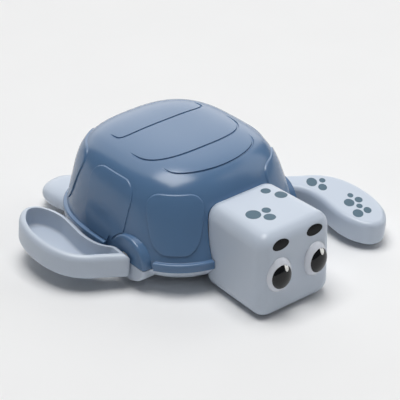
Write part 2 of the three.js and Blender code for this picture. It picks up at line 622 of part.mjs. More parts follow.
// The axle's end, flattened on one side, grown to make the hub's bore.
function axleStub(grow, start, end) {
  const flat = AXLE_FLAT + grow;
  return rod('x', AXLE_RADIUS + grow, start, end, AXIS, ROUND_SEGMENTS)
    .subtract(block(-FAR, FAR, -FAR, FAR, flat, FAR));
}

SIDES.forEach(([name, side]) => {
  // The right flipper points back with its hollow up, the left one is turned over and points ahead.
  const place = (geometry) => solidOf(geometry.scale(side, -side, -side));
  const outer = place(scoop(0, -FLIPPER_BACK, FLIPPER_RIM, FLIPPER_ROUND));
  const hollow = place(scoop(
    FLIPPER_WALL, -FLIPPER_BACK + FLIPPER_WALL, FLIPPER_RIM + FLIPPER_WALL, FLIPPER_HOLLOW_ROUND));
  const beyond = (out) => block(...[side * out, side * FAR].sort((a, b) => a - b), -FAR, FAR, -FAR, FAR);
  const hub = rod('x', HUB_RADIUS, side * FLIPPER_ROOT, side * HUB_END, AXIS).intersect(outer);
  const bore = axleStub(GAP, side * (FLIPPER_ROOT - PAST), side * BORE_END);
  const flipper = outer.intersect(beyond(FLIPPER_ROOT))
    .subtract(hollow.intersect(beyond(FLIPPER_ROOT + FLIPPER_WALL)))
    .add(hub)
    .subtract(bore);
  addPiece(`flipper_${name}`, flipper, 'skin', flippers);

  const bush = rod('x', BUSH_RADIUS, side * (BOSS_BACK - GAP), side * BOSS_FACE, AXLE)
    .add(rod('x', BUSH_RADIUS + BUSH_FLANGE, side * (BOSS_BACK - GAP - BUSH_FLANGE_THICK),
      side * (BOSS_BACK - GAP), AXLE))
    .subtract(rod('x', BUSH_BORE, -FAR, FAR, AXLE));
  addPiece(`axle_bush_${name}`, bush, 'gear');
});

const AXLE_END = BORE_END - GAP;
const axle = rod('x', AXLE_RADIUS, -BOSS_FACE, BOSS_FACE, AXIS)
  .add(axleStub(0, -AXLE_END, AXLE_END));
addPiece('flipper_axle', axle, 'steel', flippers);

// Gears

// An involute spur gear's outline with one tooth centred on the X axis.
function gearOutline(teeth) {
  const pitch = pitchRadius(teeth);
  const pressure = radians(PRESSURE_ANGLE);
  const base = pitch * Math.cos(pressure);
  const [tip, root] = [pitch + GEAR_MODULE * ADDENDUM, pitch - GEAR_MODULE * DEDENDUM];
  const involute = (angle) => Math.tan(angle) - angle;
  const halfAtPitch = Math.PI / (2 * teeth) - TOOTH_THINNING / (2 * pitch);
  const halfAt = (radius) => (
    halfAtPitch + involute(pressure) - involute(Math.acos(Math.min(1, base / radius))));
  const start = Math.max(base, root);
  const flank = [start, tip];
  const points = [];
  for (let tooth = 0; tooth < teeth; tooth += 1) {
    const centre = (2 * Math.PI * tooth) / teeth;
    const add = (radius, angle) => points.push(
      new THREE.Vector2(radius * Math.cos(centre + angle), radius * Math.sin(centre + angle)));
    add(root, -halfAt(start) - ROOT_WIDENING);
    flank.forEach((radius) => add(radius, -halfAt(radius)));
    [...flank].reverse().forEach((radius) => add(radius, halfAt(radius)));
    add(root, halfAt(start) + ROOT_WIDENING);
  }
  return new THREE.Shape(points);
}

const gear = (teeth, x0, x1) => extrudedAlongX(gearOutline(teeth), x0, x1);
// The angle that puts a tooth gap opposite the tooth of the gear it meets.
const gapTowards = (bearing, teeth) => radians(bearing + 180) + Math.PI / teeth;

const CASE_INSIDE = CASE_HALF_WIDTH - CASE_WALL;
const SPRING_PLANE = DRIVE_PLANE + GEAR_WIDTH + GEAR_SPACE;

const axleGear = gear(AXLE_TEETH, DRIVE_PLANE, DRIVE_PLANE + GEAR_WIDTH)
  .subtract(rod('x', AXLE_RADIUS + GAP, -FAR, FAR, AXIS));
const axleGearGroup = turningGroup(AXLE.y, AXLE.z, radians(IDLER_BEARING));
addPiece('axle_gear', axleGear, 'gear', axleGearGroup);

const idlerTurn = gapTowards(IDLER_BEARING, IDLER_TEETH);
const idlerGroup = turningGroup(IDLER.y, IDLER.z, idlerTurn);
const hubLength = CASE_INSIDE - SIDE_PLAY;
const idler = gear(IDLER_TEETH, DRIVE_PLANE, DRIVE_PLANE + GEAR_WIDTH)
  .add(gear(PINION_TEETH, DRIVE_PLANE, SPRING_PLANE + GEAR_WIDTH))
  .add(rod('x', PIN_RADIUS + RUN + IDLER_HUB_WALL, -hubLength, hubLength, AXIS, SMALL_SEGMENTS))
  .subtract(rod('x', PIN_RADIUS + RUN, -FAR, FAR, AXIS, SMALL_SEGMENTS));
addPiece('idler_gear', idler, 'gear', idlerGroup);
const idlerPin = rod('x', PIN_RADIUS, -CASE_HALF_WIDTH, CASE_HALF_WIDTH, IDLER, SMALL_SEGMENTS);
addPiece('idler_pin', idlerPin, 'steel');

// The pinion's teeth start where the idler's do, so the spring gear is set to the pinion's own angle.
const pinionStep = (2 * Math.PI) / PINION_TEETH;
const pinionOff = ((radians(SPRING_BEARING) - idlerTurn) % pinionStep) / pinionStep;
const springTurn = gapTowards(SPRING_BEARING, SPRING_TEETH) + (pinionOff * 2 * Math.PI) / SPRING_TEETH;
const springGroup = turningGroup(SPRING.y, SPRING.z, springTurn);
const springGear = gear(SPRING_TEETH, SPRING_PLANE, SPRING_PLANE + GEAR_WIDTH)
  .subtract(rod('x', ARBOR_RADIUS + GAP, -FAR, FAR, AXIS));
addPiece('spring_gear', springGear, 'gear', springGroup);
const arbor = rod('x', ARBOR_RADIUS, -CASE_HALF_WIDTH, CASE_HALF_WIDTH, AXIS);
addPiece('spring_arbor', arbor, 'steel', springGroup);

// Mainspring: a flat ribbon wound round the arbor
function springOutline() {
  const steps = SPRING_TURNS * SPRING_STEPS;
  const inner = ARBOR_RADIUS + GAP + SPRING_THICK / 2;
  const ribbon = (offset) => Array.from({ length: steps + 1 }, (_, i) => {
    const angle = (2 * Math.PI * SPRING_TURNS * i) / steps;
    const radius = inner + ((SPRING_OUTER - inner) * i) / steps + offset;
    return new THREE.Vector2(radius * Math.cos(angle), radius * Math.sin(angle));
  });
  return new THREE.Shape([...ribbon(SPRING_THICK / 2), ...ribbon(-SPRING_THICK / 2).reverse()]);
}

const springStart = SPRING_PLANE + GEAR_WIDTH + GEAR_SPACE;
const springPlace = turningGroup(SPRING.y, SPRING.z, 0);
addPiece('mainspring', extrudedAlongX(springOutline(), springStart, springStart + SPRING_WIDTH), 'steel',
  springPlace);

// Motor case, split down the middle, standing on four posts of the belly

const caseOutline = (inset) => roundedRectangle(
  CASE.front + inset, CASE.back - inset, CASE.bottom + inset, CASE.top - inset, CASE_CORNER - inset);
const caseHollow = extrudedAlongX(caseOutline(CASE_WALL), -CASE_INSIDE, CASE_INSIDE);
const caseBores = unite([
  rod('x', BUSH_BORE, -FAR, FAR, AXLE),
  rod('x', PIN_RADIUS + GAP, -FAR, FAR, IDLER, SMALL_SEGMENTS),
  rod('x', ARBOR_RADIUS + RUN, -FAR, FAR, SPRING),
]);
SIDES.forEach(([name, side]) => {
  const sideLugs = lugPlaces.filter(({ x }) => Math.sign(x) === side);
  const lugTop = CASE_LUG_HEIGHT + CASE_LUG_THICK;
  const lugs = unite(sideLugs.map((place) => {
    const root = place.y < AXLE.y ? CASE.front + CASE_WALL : CASE.back - CASE_WALL;
    const [y0, y1] = [place.y, root].sort((a, b) => a - b);
    const [x0, x1] = [place.x - CASE_LUG_RADIUS, place.x + CASE_LUG_RADIUS];
    const web = block(x0, x1, y0, y1, CASE_LUG_HEIGHT, lugTop);
    return rod('z', CASE_LUG_RADIUS, CASE_LUG_HEIGHT, lugTop, place, SMALL_SEGMENTS).add(web);
  }));
  const [x0, x1] = [side * (GAP / 2), side * CASE_HALF_WIDTH].sort((a, b) => a - b);
  const half = extrudedAlongX(caseOutline(0), x0, x1).add(lugs)
    .subtract(caseHollow).subtract(caseBores).subtract(motorScrewBores);
  addPiece(`motor_case_${name}`, half, 'motor');
});

lugPlaces.forEach(({ x, y }, i) => {
  const screw = screwGeometry(MOTOR_SCREW).rotateX(Math.PI);
  screw.translate(x, y, CASE_LUG_HEIGHT + CASE_LUG_THICK + GAP);
  addPiece(`motor_screw_${i + 1}`, solidOf(screw), 'steel');
});

export default turtle;
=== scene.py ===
# A wind-up bath turtle. A blue domed shell is screwed to a pale belly, a box-shaped head with bulging
# eyes sits in the front, and two scoop flippers turn together on one axle.
import math

import bmesh
import bpy
import numpy as np
from mathutils import Matrix, Vector


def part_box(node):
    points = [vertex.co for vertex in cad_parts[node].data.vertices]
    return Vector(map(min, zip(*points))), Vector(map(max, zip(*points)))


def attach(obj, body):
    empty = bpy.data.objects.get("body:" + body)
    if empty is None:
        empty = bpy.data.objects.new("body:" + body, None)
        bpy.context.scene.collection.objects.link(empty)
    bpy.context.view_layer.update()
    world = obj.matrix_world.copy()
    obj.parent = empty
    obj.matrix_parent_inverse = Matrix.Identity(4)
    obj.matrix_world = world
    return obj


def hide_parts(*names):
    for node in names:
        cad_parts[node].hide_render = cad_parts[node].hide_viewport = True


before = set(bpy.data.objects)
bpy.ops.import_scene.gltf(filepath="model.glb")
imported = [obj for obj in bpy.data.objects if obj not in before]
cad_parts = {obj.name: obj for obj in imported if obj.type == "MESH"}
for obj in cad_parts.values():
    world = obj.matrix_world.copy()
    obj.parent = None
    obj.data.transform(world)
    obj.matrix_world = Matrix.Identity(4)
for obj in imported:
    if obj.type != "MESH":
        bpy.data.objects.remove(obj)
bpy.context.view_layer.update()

# Spring motor: moulded acetal gears, steel pins and a ribbon spring in a case of natural ABS.
# The case is moulded in two halves that close round the gears, and stands on posts of the belly.
MM = 0.001
GLOSS_SPREAD = 0.05  # of a plain finish's roughness, to both sides
STEEL_GLOSS_SPREAD = 0.08
STREAK_LENGTH = 20  # of a streak in drawn steel, in widths


def linear(colour):
    """An sRGB hex colour as linear RGBA."""
    parts = [int(colour[i:i + 2], 16) / 255 for i in (1, 3, 5)]
    return [*(c / 12.92 if c <= 0.04045 else ((c + 0.055) / 1.055) ** 2.4 for c in parts), 1]


def add_node(tree, kind, settings=None, values=None, links=None):
    """Adds a node with its settings, the values of its inputs and the links into it. A link comes from an
    output, or from a node's first output."""
    node = tree.nodes.new(kind)
    for name, value in (settings or {}).items():
        setattr(node, name, value)
    for name, value in (values or {}).items():
        node.inputs[name].default_value = value
    for name, sources in (links or {}).items():
        for source in sources if isinstance(sources, list) else [sources]:
            tree.links.new(getattr(source, "outputs", [source])[0], node.inputs[name])
    return node


def per_metre(size):
    """The texture scale at which a pattern repeats every `size` millimetres."""
    return 1 / (size * MM)


def bare_material(name):
    """A material with an empty tree, that tree, and the piece's own coordinates in it."""
    material = bpy.data.materials.new(name)
    material.use_nodes = True
    tree = material.node_tree
    tree.nodes.clear()
    return material, tree, add_node(tree, "ShaderNodeTexCoord").outputs["Object"]


def end_material(tree, pattern, colours, roughness, spread, values, links):
    """Ends a material's tree in a skin whose colour and gloss follow a pattern."""
    hue = add_node(tree, "ShaderNodeMix", {"data_type": "RGBA"},
                   {6: linear(colours[0]), 7: linear(colours[1])}, {0: pattern})
    gloss = add_node(tree, "ShaderNodeMapRange",
                     values={"To Min": roughness - spread, "To Max": roughness + spread},
                     links={"Value": pattern})
    skin = add_node(tree, "ShaderNodeBsdfPrincipled", values=values,
                    links={"Base Color": hue.outputs[2], "Roughness": gloss, **links})
    add_node(tree, "ShaderNodeOutputMaterial", links={"Surface": skin})


def plain_finish(name, colour, drift, roughness, ior, flow, grain, relief):
    """Moulded plastic, or a film of ink or a sheet of paper. Its colour drifts a little, in plastic along
    the flow of the melt, its gloss follows that, and a fine grain breaks up the reflections."""
    material, tree, place = bare_material(name)
    cloud = add_node(tree, "ShaderNodeTexNoise", values={"Scale": per_metre(flow), "Detail": 3},
                     links={"Vector": place})
    pits = add_node(tree, "ShaderNodeTexNoise", values={"Scale": per_metre(grain), "Detail": 2},
                    links={"Vector": place})
    bump = add_node(tree, "ShaderNodeBump", values={"Strength": 1, "Distance": relief * MM},
                    links={"Height": pits})
    end_material(tree, cloud, (colour, drift), roughness, GLOSS_SPREAD, {"IOR": ior}, {"Normal": bump})
    return material


def drawn_steel(name, colour, streak_colour, roughness, streak):
    """Bright steel drawn through a die: fine streaks along its length, each with its own gloss."""
    material, tree, place = bare_material(name)
    drawn = add_node(tree, "ShaderNodeMapping", values={"Scale": (1 / STREAK_LENGTH, 1, 1)},
                     links={"Vector": place})
    streaks = add_node(tree, "ShaderNodeTexNoise", values={"Scale": per_metre(streak), "Detail": 2},
                       links={"Vector": drawn})
    end_material(tree, streaks, (colour, streak_colour), roughness, STEEL_GLOSS_SPREAD, {"Metallic": 1}, {})
    return material


def coat(mesh, material):
    """Gives a mesh its one material."""
    mesh.materials.clear()
    mesh.materials.append(material)


def finish_nodes(material, *names):
    """Gives CAD nodes that keep their own shape a finish."""
    for name in names:
        coat(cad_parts[name].data, material)


# Unpainted ABS is a warm off-white with a dull gloss, acetal a milky white that looks a little waxy.
natural_abs = plain_finish("natural ABS, moulded", "#D9D7CF", "#CFCCC2", 0.5, 1.53, 12, 0.4, 0.004)
acetal = plain_finish("acetal, moulded", "#EEEAE0", "#E4DFD2", 0.42, 1.48, 8, 0.3, 0.003)
# Drawn stainless steel is bright and grey, with streaks along the wire.
stainless = drawn_steel("stainless steel, drawn", "#A9ADB2", "#94989E", 0.28, 0.15)
# Rolled spring steel is darker, with a bluish cast from its heat treatment.
spring_steel = drawn_steel("spring steel, rolled", "#7C8288", "#686F78", 0.34, 0.2)
finish_nodes(natural_abs, "motor_case_right", "motor_case_left")
finish_nodes(acetal, "axle_gear", "idler_gear", "spring_gear")
finish_nodes(stainless, "idler_pin", "spring_arbor")
finish_nodes(spring_steel, "mainspring")

# Axle: a drawn steel rod with flats on its ends for the flippers. It runs in two acetal bushes that
# are held between shell and belly.
finish_nodes(stainless, "flipper_axle")
finish_nodes(acetal, "axle_bush_right", "axle_bush_left")

# Head: a rounded block moulded in pale blue ABS, hollow, with sockets for the eyes in its face.
# A back plate closes it, and its neck and two screws fix it to the shell.
HEAD_FRONT = -77.7
HEAD_BACK = -38.5
HEAD_BOTTOM = 0.3
HEAD_TOP = 40.8
HEAD_HALF_WIDTH = 20.5
HEAD_CORNER = 7  # rounding of the edges that run to the front
HEAD_ROUND = 5.6  # rounding of the edges round the face and the back
HEAD_ROUND_STEPS = 11
HEAD_RINGS = 8  # between those roundings
HEAD_TOP_TAPER = 0.6
HEAD_BACK_TAPER = 1.6
HEAD_CHIN_RISE = 0.4
FACE_RINGS = (0.1, 0.25, 0.4, 0.55, 0.7, 0.82, 0.92)  # as shares of the face's flat part
FACE_CROWN = 0.5  # how far the middle of the face bulges
FACE_CROWN_END = 0.25  # share of the head's length over which that fades
EYE_X = 10.1
EYE_HEIGHT = 21
EYE_SINK = 0.7
EYE_HALF = (6.6, 4.4, 8.4)
EYE_TURN = 6
SEAM = 0.12  # fine joint round pieces that are pressed together


def linked(name, data):
    """An object with this data, put into the scene."""
    piece = bpy.data.objects.new(name, data)
    bpy.context.scene.collection.objects.link(piece)
    return piece


def solid(name, points, faces):
    """A mesh piece from points in millimetres, with its faces turned outwards."""
    mesh = bpy.data.meshes.new(name)
    mesh.from_pydata((np.asarray(points, float) * MM).tolist(), [], faces)
    body = bmesh.new()
    body.from_mesh(mesh)
    bmesh.ops.recalc_face_normals(body, faces=body.faces)
    body.to_mesh(mesh)
    body.free()
    return linked(name, mesh)


def lofted(name, rings, first="point", last="point"):
    """A closed piece through rings of points; each end closes in a point or in a face."""
    rings = np.asarray(rings, float)
    count, around = rings.shape[:2]
    points = rings.reshape(-1, 3).tolist()
    here = np.arange(around)
    there = (here + 1) % around
    faces = []
    for k in range(count - 1):
        low, high = k * around, (k + 1) * around
        faces += np.stack([low + here, low + there, high + there, high + here], 1).tolist()
    for end, row in ((first, 0), (last, count - 1)):
        edge = row * around
        if end == "point":
            points.append(rings[row].mean(0).tolist())
            faces += [[edge + i, edge + j, len(points) - 1] for i, j in zip(here.tolist(), there.tolist())]
        else:
            faces.append((edge + here).tolist())
    return solid(name, points, faces)


def placed(piece, matrix):
    """Moves a piece's mesh by a matrix in millimetres."""
    piece.data.transform(Matrix.Scale(MM, 4) @ matrix @ Matrix.Scale(1 / MM, 4))
    return piece


def applied(piece):
    """Replaces a piece's mesh by what its modifiers make of it."""
    bpy.context.view_layer.update()
    rough = piece.data
    made = piece.evaluated_get(bpy.context.evaluated_depsgraph_get())
    piece.data = bpy.data.meshes.new_from_object(made)
    piece.modifiers.clear()
    bpy.data.meshes.remove(rough)
    return piece


def joined(piece, other, operation="UNION"):
    """Joins another piece to this one, or cuts it away, and removes it."""
    modifier = piece.modifiers.new("joint", "BOOLEAN")
    modifier.operation = operation
    modifier.object = other
    modifier.solver = "EXACT"
    applied(piece)
    bpy.data.objects.remove(other)
    return piece


def without(piece, other):
    """Cuts another piece away from this one."""
    return joined(piece, other, "DIFFERENCE")


def finish_piece(piece, degrees, material):
    """Shades a piece smoothly across edges up to this angle, and gives it its finish."""
    piece.data.shade_smooth()
    piece.data.set_sharp_from_angle(angle=math.radians(degrees))
    coat(piece.data, material)
    return piece


def rounded_rectangle(half, bottom, top, corner, steps=9, sides=10):
    """Points round an upright rectangle with round corners, as (x, z)."""
    corners = [(half - corner, top - corner), (corner - half, top - corner),
               (corner - half, bottom + corner), (half - corner, bottom + corner)]
    arcs = []
    for quarter, (x, z) in enumerate(corners):
        angle = (quarter + np.linspace(0, 1, steps)) * np.pi / 2
        arcs.append(np.stack([x + corner * np.cos(angle), z + corner * np.sin(angle)], 1))
    points = []
    for arc, following in zip(arcs, arcs[1:] + arcs[:1]):
        points += [arc, np.linspace(arc[-1], following[0], sides)[1:-1]]
    return np.concatenate(points)


def head_form(grow):
    """The head's block, grown on every side, so that its seat in shell and belly follows it."""
    front, back = HEAD_FRONT - grow, HEAD_BACK + grow
    round_edge = HEAD_ROUND + grow

    def ring(inset, y, share=1):
        points = rounded_rectangle(HEAD_HALF_WIDTH + grow - inset, HEAD_BOTTOM - grow + inset,
                                   HEAD_TOP + grow - inset, HEAD_CORNER + grow - inset)
        middle = np.array([0, (HEAD_BOTTOM + HEAD_TOP) / 2])
        points = middle + (points - middle) * share
        return np.stack([points[:, 0], np.full(len(points), y), points[:, 1]], 1)

    arc = np.linspace(0, np.pi / 2, HEAD_ROUND_STEPS)
    rings = [ring(round_edge, front, share) for share in FACE_RINGS]
    rings += [ring(round_edge * (1 - math.sin(t)), front + round_edge * (1 - math.cos(t))) for t in arc]
    rings += [ring(0, y) for y in np.linspace(front + round_edge, back - round_edge, HEAD_RINGS)[1:-1]]
    rings += [ring(round_edge * (1 - math.cos(t)), back - round_edge * (1 - math.sin(t))) for t in arc]
    points = np.array(rings)
    x, y, z = points[..., 0], points[..., 1], points[..., 2]
    far_back = (y - HEAD_FRONT) / (HEAD_BACK - HEAD_FRONT)
    up = (z - HEAD_BOTTOM) / (HEAD_TOP - HEAD_BOTTOM)
    swell = np.clip(1 - (x / HEAD_HALF_WIDTH) ** 2, 0, 1) * np.clip(1 - (2 * up - 1) ** 2, 0, 1)
    y -= FACE_CROWN * swell * np.clip(1 - far_back / FACE_CROWN_END, 0, 1)
    x *= 1 - (HEAD_BACK_TAPER * far_back + HEAD_TOP_TAPER * up) / HEAD_HALF_WIDTH
    z += HEAD_CHIN_RISE * far_back * (1 - up)
    return lofted("head_shell_skin", points, "point", "face")


def lobe(name, half, place, turn, fullness=1, around=64, rows=40):
    """A rounded lobe: an ellipsoid that a fullness below 1 fills out towards a box."""
    angle = np.linspace(0, 2 * np.pi, around, endpoint=False)
    plan = np.stack([np.cos(angle), np.sin(angle)], 1)
    plan = np.sign(plan) * np.abs(plan) ** fullness
    rings = []
    for t in np.linspace(-np.pi / 2, np.pi / 2, rows)[1:-1]:
        height = math.copysign(abs(math.sin(t)) ** fullness, t)
        ring = np.hstack([plan * math.cos(t) ** fullness, np.full((around, 1), height)])
        rings.append(ring * half)
    turning = Matrix.Translation(place) @ Matrix.Rotation(math.radians(turn), 4, "Z")
    return placed(lofted(name, rings), turning)


def eye_place(side):
    """The middle of an eye, which its socket in the head shares."""
    return (side * EYE_X, HEAD_FRONT + EYE_SINK, EYE_HEIGHT)


# Pale blue ABS from a polished mould: an even, cool colour and a soft gloss. The mould's grain is far
# finer than a pixel, so it is drawn at 0.8 mm.
pale_abs = plain_finish("pale blue ABS, moulded", "#C3CDDA", "#BCC7D6", 0.3, 1.5, 25, 0.8, 0.004)

head = head_form(0)
for side in (-1, 1):
    without(head, lobe("socket", [h + SEAM for h in EYE_HALF], eye_place(side), side * EYE_TURN))
finish_piece(head, 35, pale_abs)
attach(head, "hull")
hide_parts("head_shell")
finish_nodes(pale_abs, "head_back_plate")

# Eyes: white ABS domes pressed into the head's sockets, each with a black pupil set into its front.
# Both are moulded in polished moulds.
EYE_FACETS = {"rows": 56, "around": 96}
PUPIL_HALF = (4.9, 2.5, 5.8)
PUPIL_PROUD = 0.8
PUPIL_SHIFT = 0.2  # towards the middle
# Polished ABS mirrors the lights with sharp edges, the white one over a faint blue, the black one over
# next to no colour.
white_abs = plain_finish("white ABS, polished", "#DDE1EA", "#D6DBE5", 0.22, 1.53, 10, 0.6, 0.002)
black_abs = plain_finish("black ABS, polished", "#0C0E11", "#121418", 0.12, 1.42, 6, 0.5, 0.001)
pupils = {}
for name, side in (("right", -1), ("left", 1)):
    x, y, z = eye_place(side)
    swing = math.sin(math.radians(EYE_TURN)) * EYE_HALF[1]
    middle = (x + side * (swing - PUPIL_SHIFT), y - EYE_HALF[1] + PUPIL_HALF[1] - PUPIL_PROUD, z)
    eye = lobe(f"eye_{name}", EYE_HALF, (x, y, z), side * EYE_TURN, **EYE_FACETS)
    without(eye, lobe("seat", [h + SEAM / 2 for h in PUPIL_HALF], middle, side * EYE_TURN))
    pupil = lobe(f"pupil_dome_{name}", PUPIL_HALF, middle, side * EYE_TURN, **EYE_FACETS)
    pupils[side] = pupil
    for piece, material, node, slot in ((eye, white_abs, f"eye_white_{name}", "eye_white"),
                                        (pupil, black_abs, f"pupil_{name}", "pupil")):
        finish_piece(piece, 40, material)
        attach(piece, "hull")
        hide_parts(node)

# Prints on the head: black brows and grey-green spots. On each pupil, a painted highlight: a white glint.
# All are thin films a few hundredths of a millimetre thick; the prints are ink pressed on by a soft pad.
INK_THICK = 0.05
PAD_REACH = 12  # a print is aimed at the surface from half of this, over twice this length
BROW_PLACE = (9.4, 35.2)
BROW_SIZE = (9, 4.8)
HEAD_SPOTS = [(-8.4, -59.1, 6.7, 7.2), (-1.8, -59.8, 4.0, 4.4), (-4.3, -64.9, 5.3, 5.2),
              (8.6, -47.5, 4.4, 4.4), (11.6, -54.0, 5.6, 5.6)]  # x, y, width and depth
SPOT_TURN = -39
# Painted highlights on the pupils: a white glint on each.
GLINTS = [("right", -1, -8.7, 25.6), ("left", 1, 11.3, 25.8)]  # the eye, its side, x and z
GLINT_SIZE = (2.2, 3.3)
GLINT_TURN = -20


def shape_tree(name, inputs):
    """A Geometry Nodes tree with named inputs of these kinds: the tree, its sockets and what they give."""
    tree = bpy.data.node_groups.new(name, "GeometryNodeTree")
    tree.interface.new_socket("Geometry", in_out="OUTPUT", socket_type="NodeSocketGeometry")
    sockets = {}
    for label, kind in {"Geometry": "Geometry", **inputs}.items():
        sockets[label] = tree.interface.new_socket(label, in_out="INPUT", socket_type="NodeSocket" + kind)
    return tree, sockets, add_node(tree, "NodeGroupInput").outputs


def end_tree(tree, geometry, material):
    """Ends a tree in a plain mesh with its material."""
    plain = add_node(tree, "GeometryNodeRealizeInstances", links={"Geometry": geometry})
    coated = add_node(tree, "GeometryNodeSetMaterial", links={"Geometry": plain, "Material": material})
    add_node(tree, "NodeGroupOutput", links={"Geometry": coated})


def shaped(piece, tree, sockets, values):
    """Puts a piece through a tree with these inputs, and keeps the mesh that it makes."""
    modifier = piece.modifiers.new("shape", "NODES")
    modifier.node_group = tree
    for label, value in values.items():
        modifier[sockets[label].identifier] = value
    return applied(piece)


def printed(name, host, marks, ink):
    """Lays oval films on a host's surface: prints, and the painted highlights on the pupils. A mark is
    its place, the turn that points its own Z away from the surface, and its size across and along."""
    tree, sockets, given = shape_tree("pad print", {"Host": "Object", "Thickness": "Float",
                                                    "Reach": "Float", "Ink": "Material"})
    stored = {label: add_node(tree, "GeometryNodeInputNamedAttribute", {"data_type": "FLOAT_VECTOR"},
                              {"Name": label}) for label in ("turn", "size", "aim")}
    oval = add_node(tree, "GeometryNodeMeshCircle", {"fill_type": "TRIANGLE_FAN"},
                    {"Vertices": 24, "Radius": 0.5})
    fine = add_node(tree, "GeometryNodeSubdivideMesh", values={"Level": 2}, links={"Mesh": oval})
    turned_by = add_node(tree, "FunctionNodeEulerToRotation", links={"Euler": stored["turn"]})
    pads = add_node(tree, "GeometryNodeInstanceOnPoints",
                    links={"Points": given["Geometry"], "Instance": fine, "Rotation": turned_by,
                           "Scale": stored["size"]})
    loose = add_node(tree, "GeometryNodeRealizeInstances", links={"Geometry": pads})
    target = add_node(tree, "GeometryNodeObjectInfo", links={"Object": given["Host"]})
    hit = add_node(tree, "GeometryNodeRaycast",
                   links={"Target Geometry": target.outputs["Geometry"], "Ray Direction": stored["aim"],
                          "Ray Length": given["Reach"]})
    laid = add_node(tree, "GeometryNodeSetPosition",
                    links={"Geometry": loose, "Position": hit.outputs["Hit Position"]})
    raised = add_node(tree, "GeometryNodeExtrudeMesh", {"mode": "FACES"}, {"Individual": False},
                      {"Mesh": laid, "Offset Scale": given["Thickness"]})
    under = add_node(tree, "GeometryNodeFlipFaces", links={"Mesh": laid})
    both = add_node(tree, "GeometryNodeJoinGeometry", links={"Geometry": [raised, under]})
    closed = add_node(tree, "GeometryNodeMergeByDistance", values={"Distance": 1e-6},
                      links={"Geometry": both})
    end_tree(tree, closed, given["Ink"])

    mesh = bpy.data.meshes.new(name)
    lifted = [Vector(place) + turn @ Vector((0, 0, PAD_REACH / 2)) for place, turn, _ in marks]
    mesh.from_pydata([point * MM for point in lifted], [], [])
    values = {"turn": [turn.to_euler() for _, turn, _ in marks],
              "size": [(across * MM, along * MM, 1) for _, _, (across, along) in marks],
              "aim": [turn @ Vector((0, 0, -1)) for _, turn, _ in marks]}
    for label, vectors in values.items():
        attribute = mesh.attributes.new(label, "FLOAT_VECTOR", "POINT")
        attribute.data.foreach_set("vector", np.array([tuple(v) for v in vectors], float).ravel())
    piece = shaped(linked(name, mesh), tree, sockets, {
        "Host": host, "Thickness": INK_THICK * MM, "Reach": 2 * PAD_REACH * MM, "Ink": ink})
    for label in values:
        if label in piece.data.attributes:
            piece.data.attributes.remove(piece.data.attributes[label])
    return finish_piece(piece, 30, ink)


def upright(turn):
    """The turn of a print on a face that looks up."""
    return Matrix.Rotation(math.radians(turn), 3, "Z")


def forward(turn):
    """The turn of a print on a face that looks to the front."""
    return Matrix.Rotation(math.radians(90), 3, "X") @ upright(turn)


# Printing inks dry to an even film: the grey-green and the black one satin. The white of the painted
# highlights on the pupils is a little glossier.
spot_ink = plain_finish("grey-green ink, printed", "#3F6072", "#3A5A6C", 0.5, 1.42, 6, 0.5, 0.002)
black_ink = plain_finish("black ink, printed", "#07080A", "#0B0C0F", 0.5, 1.3, 6, 0.5, 0.002)
# This white is a painted highlight, the glint on each pupil.
painted_glint_white = plain_finish("white glint, painted highlight", "#F4F4F1", "#ECECE8", 0.35, 1.48, 4, 0.5, 0.002)
head_marks = [((x, y, HEAD_TOP), upright(SPOT_TURN), size) for x, y, *size in HEAD_SPOTS]
brow_marks = [((side * BROW_PLACE[0], HEAD_FRONT, BROW_PLACE[1]), forward(0), BROW_SIZE)
              for side in (-1, 1)]
prints_and_glints = [printed("head_spots", head, head_marks, spot_ink),
          printed("brows", head, brow_marks, black_ink)]
# Each pupil gets its painted highlight, a white glint laid on its dome.
for name, side, x, z in GLINTS:
    glint = ((x, HEAD_FRONT, z), forward(GLINT_TURN), GLINT_SIZE)
    prints_and_glints.append(printed(f"glint_{name}", pupils[side], [glint], painted_glint_white))
for piece, slot in zip(prints_and_glints, ("shell", "pupil", "eye_white", "eye_white")):
    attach(piece, "hull")

# Belly pan: a shallow bowl with two round hind legs, moulded in pale blue ABS. It carries the lower
# halves of the axle's bosses and a pad on each side of the head, and is screwed to the shell.
HULL_WIDTH = 46.4  # half sizes of the shell's rim
HULL_LENGTH = 48.8
SQUARENESS = 2.78
PARTING = 12.5
RIM_TOP = 16.4
DOME_TOP = 53.6
DOME_SETBACK = 2.4  # how far the crown lies behind the rim's middle
BELLY_TOP = 12.2
BELLY_WALL = 2
BOWL_FLAT = HULL_WIDTH - 17.5
BOWL_EDGE = HULL_WIDTH - 1
BOWL_BULGE = 1.3
BOWL_RINGS = 24
BOWL_FLAT_RINGS = (0.2, 0.4, 0.6, 0.8, 0.93)  # as shares of the flat
BOWL_LID_RINGS = (1, 0.7, 0.3)  # as shares of the edge
BELLY_AROUND = 180
LEG_PLACE = (22.5, 49, 7.5)
LEG_HALF = (12, 15, 5.2)
LEG_SPLAY = 12
LEG_FULLNESS = 0.85
BELLY_VOXEL = 0.7
BELLY_SPARE = 3  # height above the joint that is cut off again
AXLE_Y = -16.5
BOSS_RADIUS = 11.8
BOSS_FACE = 44.2
BOSS_BACK = 35.2
BOSS_AHEAD = 1.5  # of its middle from the axle's
BOSS_EDGE = 1.4
BOSS_EDGE_STEPS = 10
BOSS_DROP = 9.2  # how far the belly's half hangs below the joint
BOSS_NOTCH = 2.1  # room round the boss where the rim stops
BUSH_SEAT = 3.65
BUSH_SEAT_PAST = 4  # how far the seat runs on behind the boss
CHEEK_OUTER = 22.3
CHEEK_FRONT = -42.5
CHEEK_BACK = -33.5
CHEEK_FOOT = 9.6
HEAD_GAP = 0.3
SCREW_PLACES = [(x, y) for x in (-20, 20) for y in (-24, 24)]
WELL_RADIUS = 2.8
WELL_TOP = 6
FAR = 120  # reach of a cutting tool beyond every piece
PAST = 1  # how far a tool's end lies off a face that it must not meet


